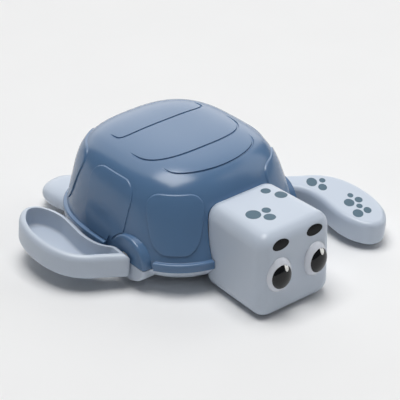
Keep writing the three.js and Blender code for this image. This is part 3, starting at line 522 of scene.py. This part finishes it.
def turned(name, profile, around):
    """A piece turned about Z from a profile of (radius, height), closed at both ends."""
    angle = np.linspace(0, 2 * np.pi, around, endpoint=False)
    rings = [np.stack([r * np.cos(angle), r * np.sin(angle), np.full(around, z)], 1) for r, z in profile]
    return lofted(name, rings)


def hull_plan(piece, plastic):
    """Draws a turned piece out to the hull's plan, a rounded square that leans back above the rim."""
    tree, sockets, given = shape_tree("hull plan", {
        "Squareness": "Float", "Length share": "Float", "Rim height": "Float", "Lean": "Float",
        "Plastic": "Material"})
    place = add_node(tree, "GeometryNodeInputPosition")
    flat = add_node(tree, "ShaderNodeVectorMath", {"operation": "MULTIPLY"}, {1: (1, 1, 0)}, {0: place})
    reach = add_node(tree, "ShaderNodeVectorMath", {"operation": "LENGTH"}, links={0: flat})
    size = add_node(tree, "ShaderNodeVectorMath", {"operation": "ABSOLUTE"}, links={0: place})
    parts = add_node(tree, "ShaderNodeSeparateXYZ", links={0: size}).outputs
    powers = [add_node(tree, "ShaderNodeMath", {"operation": "POWER"},
                       links={0: parts[axis], 1: given["Squareness"]}) for axis in "XY"]
    total = add_node(tree, "ShaderNodeMath", {"operation": "ADD"}, links={0: powers[0], 1: powers[1]})
    root = add_node(tree, "ShaderNodeMath", {"operation": "DIVIDE"}, {0: 1.0}, {1: given["Squareness"]})
    squared = add_node(tree, "ShaderNodeMath", {"operation": "POWER"}, links={0: total, 1: root})
    widen = add_node(tree, "ShaderNodeMath", {"operation": "DIVIDE"},
                     links={0: reach.outputs["Value"], 1: squared})
    lengthen = add_node(tree, "ShaderNodeMath", {"operation": "MULTIPLY"},
                        links={0: widen, 1: given["Length share"]})
    factors = add_node(tree, "ShaderNodeCombineXYZ", values={"Z": 1.0}, links={"X": widen, "Y": lengthen})
    drawn = add_node(tree, "ShaderNodeVectorMath", {"operation": "MULTIPLY"}, links={0: place, 1: factors})
    above = add_node(tree, "ShaderNodeMath", {"operation": "SUBTRACT"},
                     links={0: parts["Z"], 1: given["Rim height"]})
    dome = add_node(tree, "ShaderNodeMath", {"operation": "MAXIMUM"}, {1: 0.0}, {0: above})
    back = add_node(tree, "ShaderNodeMath", {"operation": "MULTIPLY"}, links={0: dome, 1: given["Lean"]})
    lean = add_node(tree, "ShaderNodeCombineXYZ", links={"Y": back})
    leant = add_node(tree, "ShaderNodeVectorMath", {"operation": "ADD"}, links={0: drawn, 1: lean})
    moved = add_node(tree, "GeometryNodeSetPosition",
                     links={"Geometry": given["Geometry"], "Position": leant})
    end_tree(tree, moved, given["Plastic"])
    return shaped(piece, tree, sockets, {
        "Squareness": SQUARENESS, "Length share": HULL_LENGTH / HULL_WIDTH, "Rim height": RIM_TOP * MM,
        "Lean": DOME_SETBACK / (DOME_TOP - RIM_TOP), "Plastic": plastic})


def bowl(inset):
    """The belly's bowl, `inset` inside its outer surface and carried up past its joint with the shell."""
    flat, edge = BOWL_FLAT - inset, BOWL_EDGE - inset
    profile = [(flat * share, inset) for share in BOWL_FLAT_RINGS]
    for t in np.linspace(0, np.pi / 2, BOWL_RINGS):
        out, down = math.sin(t) ** (2 / BOWL_BULGE), math.cos(t) ** (2 / BOWL_BULGE)
        profile.append((flat + (edge - flat) * out, inset + (BELLY_TOP - inset) * (1 - down)))
    profile += [(edge * share, BELLY_TOP + BELLY_SPARE) for share in BOWL_LID_RINGS]
    return hull_plan(turned("bowl", profile, BELLY_AROUND), pale_abs)


def block(x0, x1, y0, y1, z0, z1):
    """A block, to add or to cut with."""
    rings = [[(x0, y0, z), (x1, y0, z), (x1, y1, z), (x0, y1, z)] for z in (z0, z1)]
    return lofted("block", rings, "face", "face")


def rod_along_x(radius, x0, x1, edge=0, around=128, ahead=0):
    """A rod along the axle, or ahead of it, whose outer end, at x1, has a rounded edge."""
    way = math.copysign(1, x1 - x0)
    profile = [(radius, x0)]
    for t in np.linspace(0, np.pi / 2, BOSS_EDGE_STEPS if edge else 1):
        profile.append((radius - edge + edge * math.cos(t), x1 - way * edge * (1 - math.sin(t))))
    along_x = Matrix(((0, 0, 1, 0), (1, 0, 0, AXLE_Y - ahead), (0, 1, 0, PARTING), (0, 0, 0, 1)))
    return placed(turned("rod", profile, around), along_x)


def boss_half(side, bottom, top, height):
    """The half of an axle boss that lies between two heights, flattened to its own height."""
    boss = rod_along_x(BOSS_RADIUS, side * BOSS_BACK, side * BOSS_FACE, BOSS_EDGE, ahead=BOSS_AHEAD)
    joint = Matrix.Translation((0, 0, PARTING))
    placed(boss, joint @ Matrix.Diagonal((1, 1, height / BOSS_RADIUS, 1)) @ joint.inverted())
    return joined(boss, block(-FAR, FAR, -FAR, FAR, bottom, top), "INTERSECT")


def boss_clearance(side):
    """What is cut from shell and belly round a boss: the rim's end and the seat of the axle's bush."""
    notch = rod_along_x(BOSS_RADIUS + BOSS_NOTCH, side * BOSS_FACE, side * FAR, ahead=BOSS_AHEAD)
    seat_back = BOSS_BACK - BUSH_SEAT_PAST
    return joined(notch, rod_along_x(BUSH_SEAT, side * seat_back, side * (FAR - PAST)))


belly = bowl(0)
belly.name = "belly_skin"
for side in (-1, 1):
    place = (side * LEG_PLACE[0], *LEG_PLACE[1:])
    joined(belly, lobe("leg", LEG_HALF, place, -side * LEG_SPLAY, LEG_FULLNESS))
remesh = belly.modifiers.new("soft corners", "REMESH")
remesh.mode = "VOXEL"
remesh.voxel_size = BELLY_VOXEL * MM
soften = belly.modifiers.new("soften", "SMOOTH")
soften.factor = 0.5
soften.iterations = 8
applied(belly)
for vertex in belly.data.vertices:
    vertex.co.z = max(vertex.co.z, 0)
without(belly, block(-FAR, FAR, -FAR, FAR, BELLY_TOP, FAR))
without(belly, bowl(BELLY_WALL))
joined(belly, block(-CHEEK_OUTER, CHEEK_OUTER, CHEEK_FRONT, CHEEK_BACK, CHEEK_FOOT, BELLY_TOP))
for side in (-1, 1):
    joined(belly, boss_half(side, -FAR, BELLY_TOP, BOSS_DROP))
without(belly, head_form(HEAD_GAP))
for side in (-1, 1):
    without(belly, boss_clearance(side))
for x, y in SCREW_PLACES:
    well = turned("well", [(WELL_RADIUS, -PAST), (WELL_RADIUS, WELL_TOP)], around=48)
    without(belly, placed(well, Matrix.Translation((x, y, 0))))
finish_piece(belly, 35, pale_abs)
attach(belly, "hull")
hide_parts("belly_pan")

# Upper shell: a domed rounded square with a ledge round its lower edge, moulded in blue ABS. Raised
# scutes stand on its wall, grooves cross its crown, and half bosses hold the axle's bushes.
RIM_LEDGE = 1.8
RIM_EDGE = 0.8
RIM_RING = 2  # above the joint
RIM_FOOT = 0.4  # rounding of the rim's lower edge
RIM_FOOT_BOW = 0.1  # of that rounding's middle from the corner
LEDGE_FILLET = 0.4  # where the wall meets the rim
LEDGE_STEPS = 7
LEDGE_GAP_TOP = 0.9  # above the rim, where the cut beside a boss ends
NOTCH_STEP = 0.2  # of the rim that is left along the wall beside a boss
WALL_START = 1  # of the wall's lowest ring above the rim
DOME_LEAN = 0.198
CROWN_FLATNESS = 6.9
SHOULDER_ROUNDNESS = 3.3
PROFILE_SAMPLES = 20000
HALVINGS = 40  # in the search for the surface
SHELL_WALL = 2
SHELL_AROUND = 360
SHELL_STEP = 0.8  # between the rings of its outside
CAVITY_STEP = 6
# A scute's azimuth from the head, the shift of its middle to the back, its half width at the top, how much
# less that is at the bottom, and the heights of both
SCUTES = [(39, 2.1, 13.6, 3.5, 19.5, 44.1), (90, -0.2, 14.6, 1.5, 17, 45.4), (141, -1, 14.8, 4, 18, 46)]
REAR_SCUTE = (180, 0, 12.5, 2, 18, 46)
SCUTE_CORNER = 8
SCUTE_RISE = 0.55
SCUTE_EDGE = 0.25  # rounding of its upper edge
SCUTE_EDGE_STEPS = 5
SCUTE_RINGS = (0.05, 0.2, 0.35, 0.5, 0.65, 0.8, 0.9, 0.96)  # as shares of its size
SCUTE_ROOT = 0.6  # how far it is rooted in the wall
SCUTE_BOSS_GAP = 0.4
# A groove's distance behind the rim's front, its half width, the sweep of its ends and their squareness
GROOVES = [(59.9, 23.8, 8, 6), (31.6, 27, 18, 2.9), (18.6, 24, 12, 2.1)]
GROOVE_RADIUS = 0.55
GROOVE_SINK = 0.2
GROOVE_RUN_OUT = 0.12  # share of a groove's length over which each end comes up
GROOVE_SAMPLES = 2001
GROOVE_POINTS = 121


def dome_radius(z, grow):
    """Half the dome's width at a height, `grow` outside its surface."""
    height = np.clip((z - RIM_TOP) / (DOME_TOP + grow - RIM_TOP), 0, 1)
    spread = (1 - height ** CROWN_FLATNESS) ** (1 / SHOULDER_ROUNDNESS)
    return (HULL_WIDTH - RIM_LEDGE + grow) * (1 - DOME_LEAN * height) * spread


def run_of(x, y):
    """The way along a line of points up to each of them."""
    return np.concatenate([[0], np.cumsum(np.hypot(np.diff(x), np.diff(y)))])


def dome_profile(inset, step):
    """The dome's outline from the crown down to the rim, `inset` inside its outside, evenly stepped."""
    z = RIM_TOP + (DOME_TOP - inset - RIM_TOP) * np.linspace(1, 0, PROFILE_SAMPLES)
    radius = dome_radius(z, -inset)
    length = run_of(radius, z)
    even = np.linspace(0, length[-1], int(length[-1] / step))[1:]
    return np.stack([np.interp(even, length, radius), np.interp(even, length, z)], 1)


def inside_dome(x, y, z, grow=0):
    """Which points lie inside the dome's surface, or inside one that lies `grow` outside it."""
    along = (y - DOME_SETBACK * (z - RIM_TOP) / (DOME_TOP - RIM_TOP)) * HULL_WIDTH / HULL_LENGTH
    reach = (np.abs(x) ** SQUARENESS + np.abs(along) ** SQUARENESS) ** (1 / SQUARENESS)
    return reach < dome_radius(z, grow)


def surface_share(inside, count):
    """Where between 0, inside, and 1, outside, each of a number of lines leaves the dome, by halving."""
    low, high = np.zeros(count), np.ones(count)
    for _ in range(HALVINGS):
        middle = (low + high) / 2
        within = inside(middle)
        low, high = np.where(within, middle, low), np.where(within, high, middle)
    return low


def scute(side, azimuth, shift, half, narrowing, bottom, top):
    """A raised panel that follows the dome's wall, with its edge rounded."""
    turn = math.radians(azimuth)
    outwards = np.array([side * math.sin(turn), -math.cos(turn)])
    backwards = np.array([side * math.cos(turn), math.sin(turn)])

    def ring(share, inset, grow):
        across, z = rounded_rectangle(half - inset, bottom + inset, top - inset, SCUTE_CORNER - inset).T
        across = share * across * (1 - narrowing / half * (top - z) / (top - bottom)) + shift
        z = (top + bottom) / 2 + share * (z - (top + bottom) / 2)

        def plan(t):
            return across[:, None] * backwards + (t * FAR)[:, None] * outwards

        wall = surface_share(lambda t: inside_dome(*plan(t).T, z, grow), len(z))
        return np.column_stack([plan(wall), z])

    rings = [ring(share, 0, -SCUTE_ROOT) for share in (*SCUTE_RINGS, 1)]
    for t in np.linspace(0, np.pi / 2, SCUTE_EDGE_STEPS):
        rings.append(ring(1, SCUTE_EDGE * (1 - math.cos(t)), SCUTE_RISE - SCUTE_EDGE * (1 - math.sin(t))))
    rings += [ring(share, 0, SCUTE_RISE) for share in SCUTE_RINGS[::-1]]
    return lofted("scute", rings)


def groove_tool(behind, half, sweep, squareness):
    """A round tool that runs along a groove's line on the crown."""
    angle = np.linspace(-np.pi / 2, np.pi / 2, GROOVE_SAMPLES)
    x = np.sign(angle) * half * np.abs(np.sin(angle)) ** (2 / squareness)
    y = behind - HULL_LENGTH + sweep * (1 - np.maximum(np.cos(angle), 0) ** (2 / squareness))
    length = run_of(x, y)
    share = np.linspace(0, 1, GROOVE_POINTS)
    x, y = (np.interp(share * length[-1], length, line) for line in (x, y))
    z = RIM_TOP + (DOME_TOP - RIM_TOP) * surface_share(
        lambda t: inside_dome(x, y, RIM_TOP + (DOME_TOP - RIM_TOP) * t), GROOVE_POINTS)
    lift = np.maximum(0, np.abs(2 * share - 1) - 1 + 2 * GROOVE_RUN_OUT) / (2 * GROOVE_RUN_OUT)
    z += (GROOVE_RADIUS + GROOVE_SINK) * lift ** 2 - GROOVE_SINK
    mesh = bpy.data.meshes.new("groove line")
    steps = [(i, i + 1) for i in range(GROOVE_POINTS - 1)]
    mesh.from_pydata((np.column_stack([x, y, z]) * MM).tolist(), steps, [])

    tree, sockets, given = shape_tree("groove tool", {"Radius": "Float", "Plastic": "Material"})
    line = add_node(tree, "GeometryNodeMeshToCurve", links={"Mesh": given["Geometry"]})
    section = add_node(tree, "GeometryNodeCurvePrimitiveCircle", values={"Resolution": 20},
                       links={"Radius": given["Radius"]})
    tool = add_node(tree, "GeometryNodeCurveToMesh", values={"Fill Caps": True},
                    links={"Curve": line, "Profile Curve": section})
    end_tree(tree, tool, given["Plastic"])
    return shaped(linked("groove line", mesh), tree, sockets,
                  {"Radius": GROOVE_RADIUS * MM, "Plastic": blue_abs})


# Blue ABS from the same kind of mould: the colour is deeper, so the gloss shows more.
blue_abs = plain_finish("blue ABS, moulded", "#57779B", "#527296", 0.24, 1.54, 30, 0.8, 0.004)

outside = dome_profile(0, SHELL_STEP)
outside = outside[outside[:, 1] > RIM_TOP + WALL_START]
wall_foot = HULL_WIDTH - RIM_LEDGE
quarter = np.linspace(0, np.pi / 2, LEDGE_STEPS)
ledge = [(wall_foot + LEDGE_FILLET * (1 - math.cos(t)), RIM_TOP + LEDGE_FILLET * (1 - math.sin(t)))
         for t in quarter]
ledge += [(HULL_WIDTH - RIM_EDGE + RIM_EDGE * math.sin(t), RIM_TOP - RIM_EDGE + RIM_EDGE * math.cos(t))
          for t in quarter]
ledge += [(HULL_WIDTH, PARTING + RIM_RING), (HULL_WIDTH, PARTING + RIM_FOOT),
          (HULL_WIDTH - RIM_FOOT_BOW, PARTING + RIM_FOOT_BOW), (HULL_WIDTH - RIM_FOOT, PARTING),
          (wall_foot - SHELL_WALL, PARTING)]
cavity = dome_profile(SHELL_WALL, CAVITY_STEP)[::-1]
shell = hull_plan(turned("shell", [*outside, *ledge, *cavity], SHELL_AROUND), blue_abs)
shell.name = "shell_skin"
scutes = scute(1, *REAR_SCUTE)
for side in (-1, 1):
    for sizes in SCUTES:
        joined(scutes, scute(side, *sizes))
    without(scutes, rod_along_x(BOSS_RADIUS + SCUTE_BOSS_GAP, side * BOSS_BACK, side * FAR,
                                ahead=BOSS_AHEAD))
joined(shell, scutes)
for sizes in GROOVES:
    without(shell, groove_tool(*sizes))
wall_column = [(wall_foot + NOTCH_STEP, PARTING - PAST), (wall_foot + NOTCH_STEP, RIM_TOP + PAST)]
for side in (-1, 1):
    ledge_gap = rod_along_x(BOSS_RADIUS + BOSS_NOTCH, side * BOSS_BACK, side * FAR, ahead=BOSS_AHEAD)
    without(ledge_gap, hull_plan(turned("wall column", wall_column, SHELL_AROUND), blue_abs))
    without(ledge_gap, block(-FAR, FAR, -FAR, FAR, RIM_TOP + LEDGE_GAP_TOP, FAR))
    without(shell, ledge_gap)
    joined(shell, boss_half(side, PARTING, FAR, BOSS_RADIUS))
cutter = head_form(HEAD_GAP)
for side in (-1, 1):
    joined(cutter, boss_clearance(side))
without(shell, cutter)
finish_piece(shell, 40, blue_abs)
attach(shell, "hull")
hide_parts("upper_shell")

# Screws: pan heads with a cross recess, of drawn stainless steel. Four hold belly and shell together
# from below, four the motor to the belly, and two the head to the shell.
SCREW_SIZES = ("Head radius", "Head height", "Shank radius", "Length")
# What follows from a screw's sizes, each as a share of one of them. Places lie along the screw from its
# head's underside, with the head below it.
SCREW_SHARES = {
    "layer": ("Head height", 0.5), "crown": ("Head radius", 0.72), "arm": ("Head radius", 1.15),
    "arm width": ("Head radius", 0.26), "recess": ("Head height", 1.1),
    "recess place": ("Head height", -1.0), "base place": ("Head height", -0.245),
    "crown place": ("Head height", -0.74), "overlap": ("Head height", 0.25), "half length": ("Length", 0.5),
}
SCREW_HEAD_SIDES = 40
SCREW_SHANK_SIDES = 24


def screw_set(name, nodes, places, turn, sizes):
    """Like screws, with their heads' undersides at the given places."""
    tree, sockets, given = shape_tree("pan head screw", {
        **dict.fromkeys(SCREW_SIZES, "Float"), "Turn": "Rotation", "Steel": "Material"})
    part = {label: add_node(tree, "ShaderNodeMath", {"operation": "MULTIPLY"}, {1: share}, {0: given[size]})
            for label, (size, share) in SCREW_SHARES.items()}
    shank_place = add_node(tree, "ShaderNodeMath", {"operation": "SUBTRACT"},
                           links={0: part["half length"], 1: part["overlap"]})
    base = add_node(tree, "GeometryNodeMeshCylinder", {"fill_type": "NGON"}, {"Vertices": SCREW_HEAD_SIDES},
                    {"Radius": given["Head radius"], "Depth": part["layer"]})
    crown = add_node(tree, "GeometryNodeMeshCone", {"fill_type": "NGON"}, {"Vertices": SCREW_HEAD_SIDES},
                     {"Radius Bottom": part["crown"], "Radius Top": given["Head radius"],
                      "Depth": part["layer"]})
    shank = add_node(tree, "GeometryNodeMeshCylinder", {"fill_type": "NGON"},
                     {"Vertices": SCREW_SHANK_SIDES},
                     {"Radius": given["Shank radius"], "Depth": given["Length"]})
    pieces = [(base, part["base place"]), (crown, part["crown place"]), (shank, shank_place)]
    for across, along in (("arm", "arm width"), ("arm width", "arm")):
        arm_size = add_node(tree, "ShaderNodeCombineXYZ",
                            links={"X": part[across], "Y": part[along], "Z": part["recess"]})
        arm = add_node(tree, "GeometryNodeMeshCube", links={"Size": arm_size})
        pieces.append((arm, part["recess place"]))
    stack = []
    for piece, height in pieces:
        shift = add_node(tree, "ShaderNodeCombineXYZ", links={"Z": height})
        stack.append(add_node(tree, "GeometryNodeTransform",
                              links={"Geometry": piece, "Translation": shift}))
    *bodies, arm, other_arm = stack
    whole = add_node(tree, "GeometryNodeMeshBoolean", {"operation": "UNION", "solver": "EXACT"},
                     links={"Mesh 2": bodies})
    driven = add_node(tree, "GeometryNodeMeshBoolean", {"operation": "DIFFERENCE", "solver": "EXACT"},
                      links={"Mesh 1": whole, "Mesh 2": [arm, other_arm]})
    copies = add_node(tree, "GeometryNodeInstanceOnPoints",
                      links={"Points": given["Geometry"], "Instance": driven, "Rotation": given["Turn"]})
    end_tree(tree, copies, given["Steel"])

    mesh = bpy.data.meshes.new(name)
    mesh.from_pydata([Vector(place) * MM for place in places], [], [])
    values = {label: size * MM for label, size in zip(SCREW_SIZES, sizes)}
    piece = shaped(linked(name, mesh), tree, sockets, {**values, "Turn": turn, "Steel": stainless})
    finish_piece(piece, 35, stainless)
    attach(piece, "hull")
    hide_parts(*nodes)


def under_head(node, axis, sign, height):
    """Where the underside of a CAD screw's head lies, from its box."""
    low, high = (np.array(corner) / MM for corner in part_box(node))
    place = (low + high) / 2
    place[axis] = low[axis] + height if sign > 0 else high[axis] - height
    return tuple(place)


hull_nodes, motor_nodes = ([f"{kind}_screw_{i}" for i in range(1, 5)] for kind in ("hull", "motor"))
head_nodes = ["head_screw_right", "head_screw_left"]
for name, nodes, axis, sign, turn, sizes in (
        ("hull_screws", hull_nodes, 2, 1, (0, 0, 0), (2.5, 1.8, 1.1, 20)),
        ("motor_screws", motor_nodes, 2, -1, (math.pi, 0, 0), (2.1, 1.5, 0.9, 6)),
        ("head_screws", head_nodes, 1, -1, (math.pi / 2, 0, 0), (2.3, 1.6, 1.0, 8))):
    head_height = sizes[1]
    screw_set(name, nodes, [under_head(node, axis, sign, head_height) for node in nodes], turn, sizes)

# Flippers: hollow scoops moulded in pale blue ABS and pressed on the axle's ends. The right one points
# back with its hollow up, the left one is turned over, and its closed face shows the printed spots.
FLIPPER_TILT = 6
FLIPPER_ROOT = 45
FLIPPER_RIM = 5.5  # heights of its rim and its closed face from the axle
FLIPPER_BACK = -6.5
FLIPPER_WALL = 3
FLIPPER_ROUND = 2.8
FLIPPER_ROUND_STEPS = 9
FLIPPER_LIP = 0.25
FLIPPER_HOLLOW_ROUND = 1.2
FLIPPER_ROOT_ROUND = 2.4
FLIPPER_ROOT_STEPS = 12
FLIPPER_AROUND = 300
FLIPPER_PLAN_STEPS = 24  # between two points of its plan
FLOOR_STRIP = 0.3  # flat beside the hollow's rounding, and beside the closed face's
BACK_STRIP = 0.5
HOLLOW_RING = 4  # places of rings: above the hollow's floor, below the rim, above the closed face
RIM_SIDE_RING = 5
BACK_SIDE_RING = 4.5
CORNER_SLACK = 0.03
HUB_RADIUS = 3.2
HUB_INSET = 0.5  # of the hub's start in the root
HUB_END = 50
HUB_BORE = 1.8
HUB_BORE_PAST = 2  # how far the bore's tool starts before the root
HUB_BORE_END = 49.2
# Plan of a flipper: distance out from its root's end and distance behind the axle
FLIPPER_PLAN = [
    (0, -6.2), (9, -0.8), (17.4, 4), (23, 10), (26.2, 17.6), (27.4, 26), (26.8, 35), (23.8, 43.4),
    (17.6, 49.4), (11.2, 48.6), (6.8, 42.8), (4.8, 35), (5, 28), (5.8, 20), (5.2, 13.5), (3.4, 9), (0, 5.4),
]
# Spots: distance from the middle of the toy, distance ahead of the axle on the left flipper, size
FLIPPER_SPOTS = [
    (55.7, 8.4, 4.9, 6.7), (60.6, 10.1, 2.9, 3.5), (57.1, 14.2, 4.0, 5.1), (63.2, 26.0, 2.7, 3.4),
    (64.0, 30.6, 3.6, 4.3), (58.9, 29.9, 4.8, 5.7), (61.0, 34.4, 2.9, 3.4), (61.8, 38.8, 3.6, 4.7),
    (56.6, 38.2, 4.8, 6.0),
]


def flipper_outline():
    """The flipper's plan as a smooth closed line of evenly spaced points."""
    plan = np.array(FLIPPER_PLAN, float)
    ends = np.concatenate([2 * plan[:1] - plan[1:2], plan, 2 * plan[-1:] - plan[-2:-1]])
    share = np.linspace(0, 1, FLIPPER_PLAN_STEPS, endpoint=False)[:, None]
    line = []
    for a, b, c, d in zip(ends, ends[1:], ends[2:], ends[3:]):
        line.append(0.5 * (2 * b + (c - a) * share + (2 * a - 5 * b + 4 * c - d) * share ** 2
                           + (3 * b - a - 3 * c + d) * share ** 3))
    line = np.concatenate([*line, plan[-1:]])
    from_start = np.hypot(*(line - line[0]).T)
    from_end = np.hypot(*(line - line[-1]).T)
    kept = line[(from_start > FLIPPER_ROOT_ROUND) & (from_end > FLIPPER_ROOT_ROUND)]
    bend = np.linspace(0, 1, FLIPPER_ROOT_STEPS)[:, None]
    corners = []
    for corner, start, end in ((line[-1], kept[-1], line[-1] + (0, -FLIPPER_ROOT_ROUND)),
                               (line[0], line[0] + (0, FLIPPER_ROOT_ROUND), kept[0])):
        corners.append((1 - bend) ** 2 * start + 2 * bend * (1 - bend) * corner + bend ** 2 * end)
    loop = np.concatenate([kept, corners[0][1:], corners[1][:-1], kept[:1]])
    length = run_of(*loop.T)
    even = np.linspace(0, length[-1], FLIPPER_AROUND, endpoint=False)
    out, behind = (np.interp(even, length, line) for line in loop.T)
    return np.stack([FLIPPER_ROOT + out, behind], 1)


def inner_line(outline, inward, inset):
    """A closed line drawn inside another, with the loops that tight corners would give left out."""
    line = outline + inward * inset
    apart = np.hypot(*(line[:, None] - outline[None]).transpose(2, 0, 1)).min(1)
    good = np.flatnonzero(apart > inset - CORNER_SLACK)
    index = np.arange(len(line))
    return np.stack([np.interp(index, good, line[good, axis], period=len(line)) for axis in (0, 1)], 1)


def flipper_rings():
    """A flipper's section, from the hollow's floor over the rim to the closed face, round its plan."""
    outline = flipper_outline()
    run = np.roll(outline, -2, 0) - np.roll(outline, 2, 0)
    inward = np.stack([-run[:, 1], run[:, 0]], 1) / np.hypot(*run.T)[:, None]
    floor = FLIPPER_BACK + FLIPPER_WALL
    quarter = np.linspace(0, np.pi / 2, FLIPPER_ROUND_STEPS)
    hollow, outer = FLIPPER_HOLLOW_ROUND, FLIPPER_ROUND
    section = [(FLIPPER_WALL + hollow + FLOOR_STRIP, floor)]
    section += [(FLIPPER_WALL + hollow * (1 - math.sin(t)), floor + hollow * (1 - math.cos(t)))
                for t in quarter]
    section += [(FLIPPER_WALL, floor + HOLLOW_RING), (FLIPPER_WALL, FLIPPER_RIM - FLIPPER_LIP),
                (FLIPPER_WALL - FLIPPER_LIP / 2, FLIPPER_RIM)]
    section += [(outer * (1 - math.sin(t)), FLIPPER_RIM - outer * (1 - math.cos(t))) for t in quarter]
    section += [(0, FLIPPER_RIM - RIM_SIDE_RING), (0, FLIPPER_BACK + BACK_SIDE_RING)]
    section += [(outer * (1 - math.cos(t)), FLIPPER_BACK + outer * (1 - math.sin(t))) for t in quarter]
    section += [(outer + BACK_STRIP, FLIPPER_BACK)]
    return [np.column_stack([inner_line(outline, inward, inset), np.full(len(outline), z)])
            for inset, z in section]


turning = Matrix.Translation((0, AXLE_Y, PARTING)) @ Matrix.Rotation(math.radians(FLIPPER_TILT), 4, "X")
for name, side in (("right", -1), ("left", 1)):
    mirrored = np.array([side, -side, -side])
    flipper = lofted(f"flipper_scoop_{name}", np.array(flipper_rings()) * mirrored, "face", "face")
    placed(flipper, turning)
    joined(flipper, rod_along_x(HUB_RADIUS, side * (FLIPPER_ROOT + HUB_INSET), side * HUB_END, around=48))
    without(flipper, rod_along_x(HUB_BORE, side * (FLIPPER_ROOT - HUB_BORE_PAST), side * HUB_BORE_END,
                                 around=32))
    finish_piece(flipper, 40, pale_abs)
    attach(flipper, "flippers")
    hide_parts(f"flipper_{name}")

    facing = turning.to_3x3() @ (Matrix.Identity(3) if side > 0 else Matrix.Rotation(math.pi, 3, "X"))
    marks = []
    for x, y, *size in FLIPPER_SPOTS:
        place = turning @ Vector((x * side, -y * side, -FLIPPER_BACK * side))
        marks.append((place, facing @ upright(SPOT_TURN * side), size))
    spots = printed(f"flipper_spots_{name}", flipper, marks, spot_ink)
    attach(spots, "flippers")

# Studio: a pale paper floor in a dim room. Softboxes overhead, behind and beside the toy light it, a
# large reflector shows only in the gloss, and the camera stands where the photograph was taken from.
FLOOR_HALF = 3
ROOM_LIGHT = 0.12
# A light's place and size in metres, its power in watts, and whether it lights matt surfaces too
LIGHTS = [
    ("overhead softbox", (-0.1, 0, 1.5), 0.9, 18.2, True),
    ("rear softbox", (0.75, 0.92, 0.72), 1.4, 2.5, True),
    ("side fill", (1.25, -0.5, 0.8), 1, 4.4, True),
    ("reflector", (0.8, 1.4, 1.3), 3.6, 58, False),
]
CAMERA_PLACE = (-0.5300, -0.6545, 0.5134)
CAMERA_AIM = (0.00728, -0.00514, 0.01760)
LENS = 198
SENSOR = 36
floor_mesh = bpy.data.meshes.new("floor")
floor_mesh.from_pydata([(-FLOOR_HALF, -FLOOR_HALF, 0), (FLOOR_HALF, -FLOOR_HALF, 0),
                        (FLOOR_HALF, FLOOR_HALF, 0), (-FLOOR_HALF, FLOOR_HALF, 0)], [], [(0, 1, 2, 3)])
floor = linked("floor", floor_mesh)
# Backdrop paper is white and matt, so that shadows lie on it softly.
paper = plain_finish("white paper backdrop", "#F2F2F2", "#F0F0F0", 0.8, 1.4, 40, 1, 0.002)
floor_mesh.materials.append(paper)

world = bpy.data.worlds.new("dim room")
world.use_nodes = True
room = world.node_tree.nodes["Background"].inputs
room["Color"].default_value = linear("#F4F6F8")
room["Strength"].default_value = ROOM_LIGHT
bpy.context.scene.world = world
for name, place, size, power, lit in LIGHTS:
    lamp = bpy.data.lights.new(name, "AREA")
    lamp.shape = "SQUARE"
    lamp.size = size
    lamp.energy = power
    light = linked(name, lamp)
    light.location = place
    light.rotation_euler = (-Vector(place)).to_track_quat("-Z", "Y").to_euler()
    light.visible_diffuse = lit

lens = bpy.data.cameras.new("camera")
lens.lens = LENS
lens.sensor_width = SENSOR
camera = linked("camera", lens)
camera.location = CAMERA_PLACE
camera.rotation_euler = (Vector(CAMERA_AIM) - Vector(CAMERA_PLACE)).to_track_quat("-Z", "Y").to_euler()
bpy.context.scene.camera = camera
bpy.context.scene.view_settings.view_transform = "Standard"
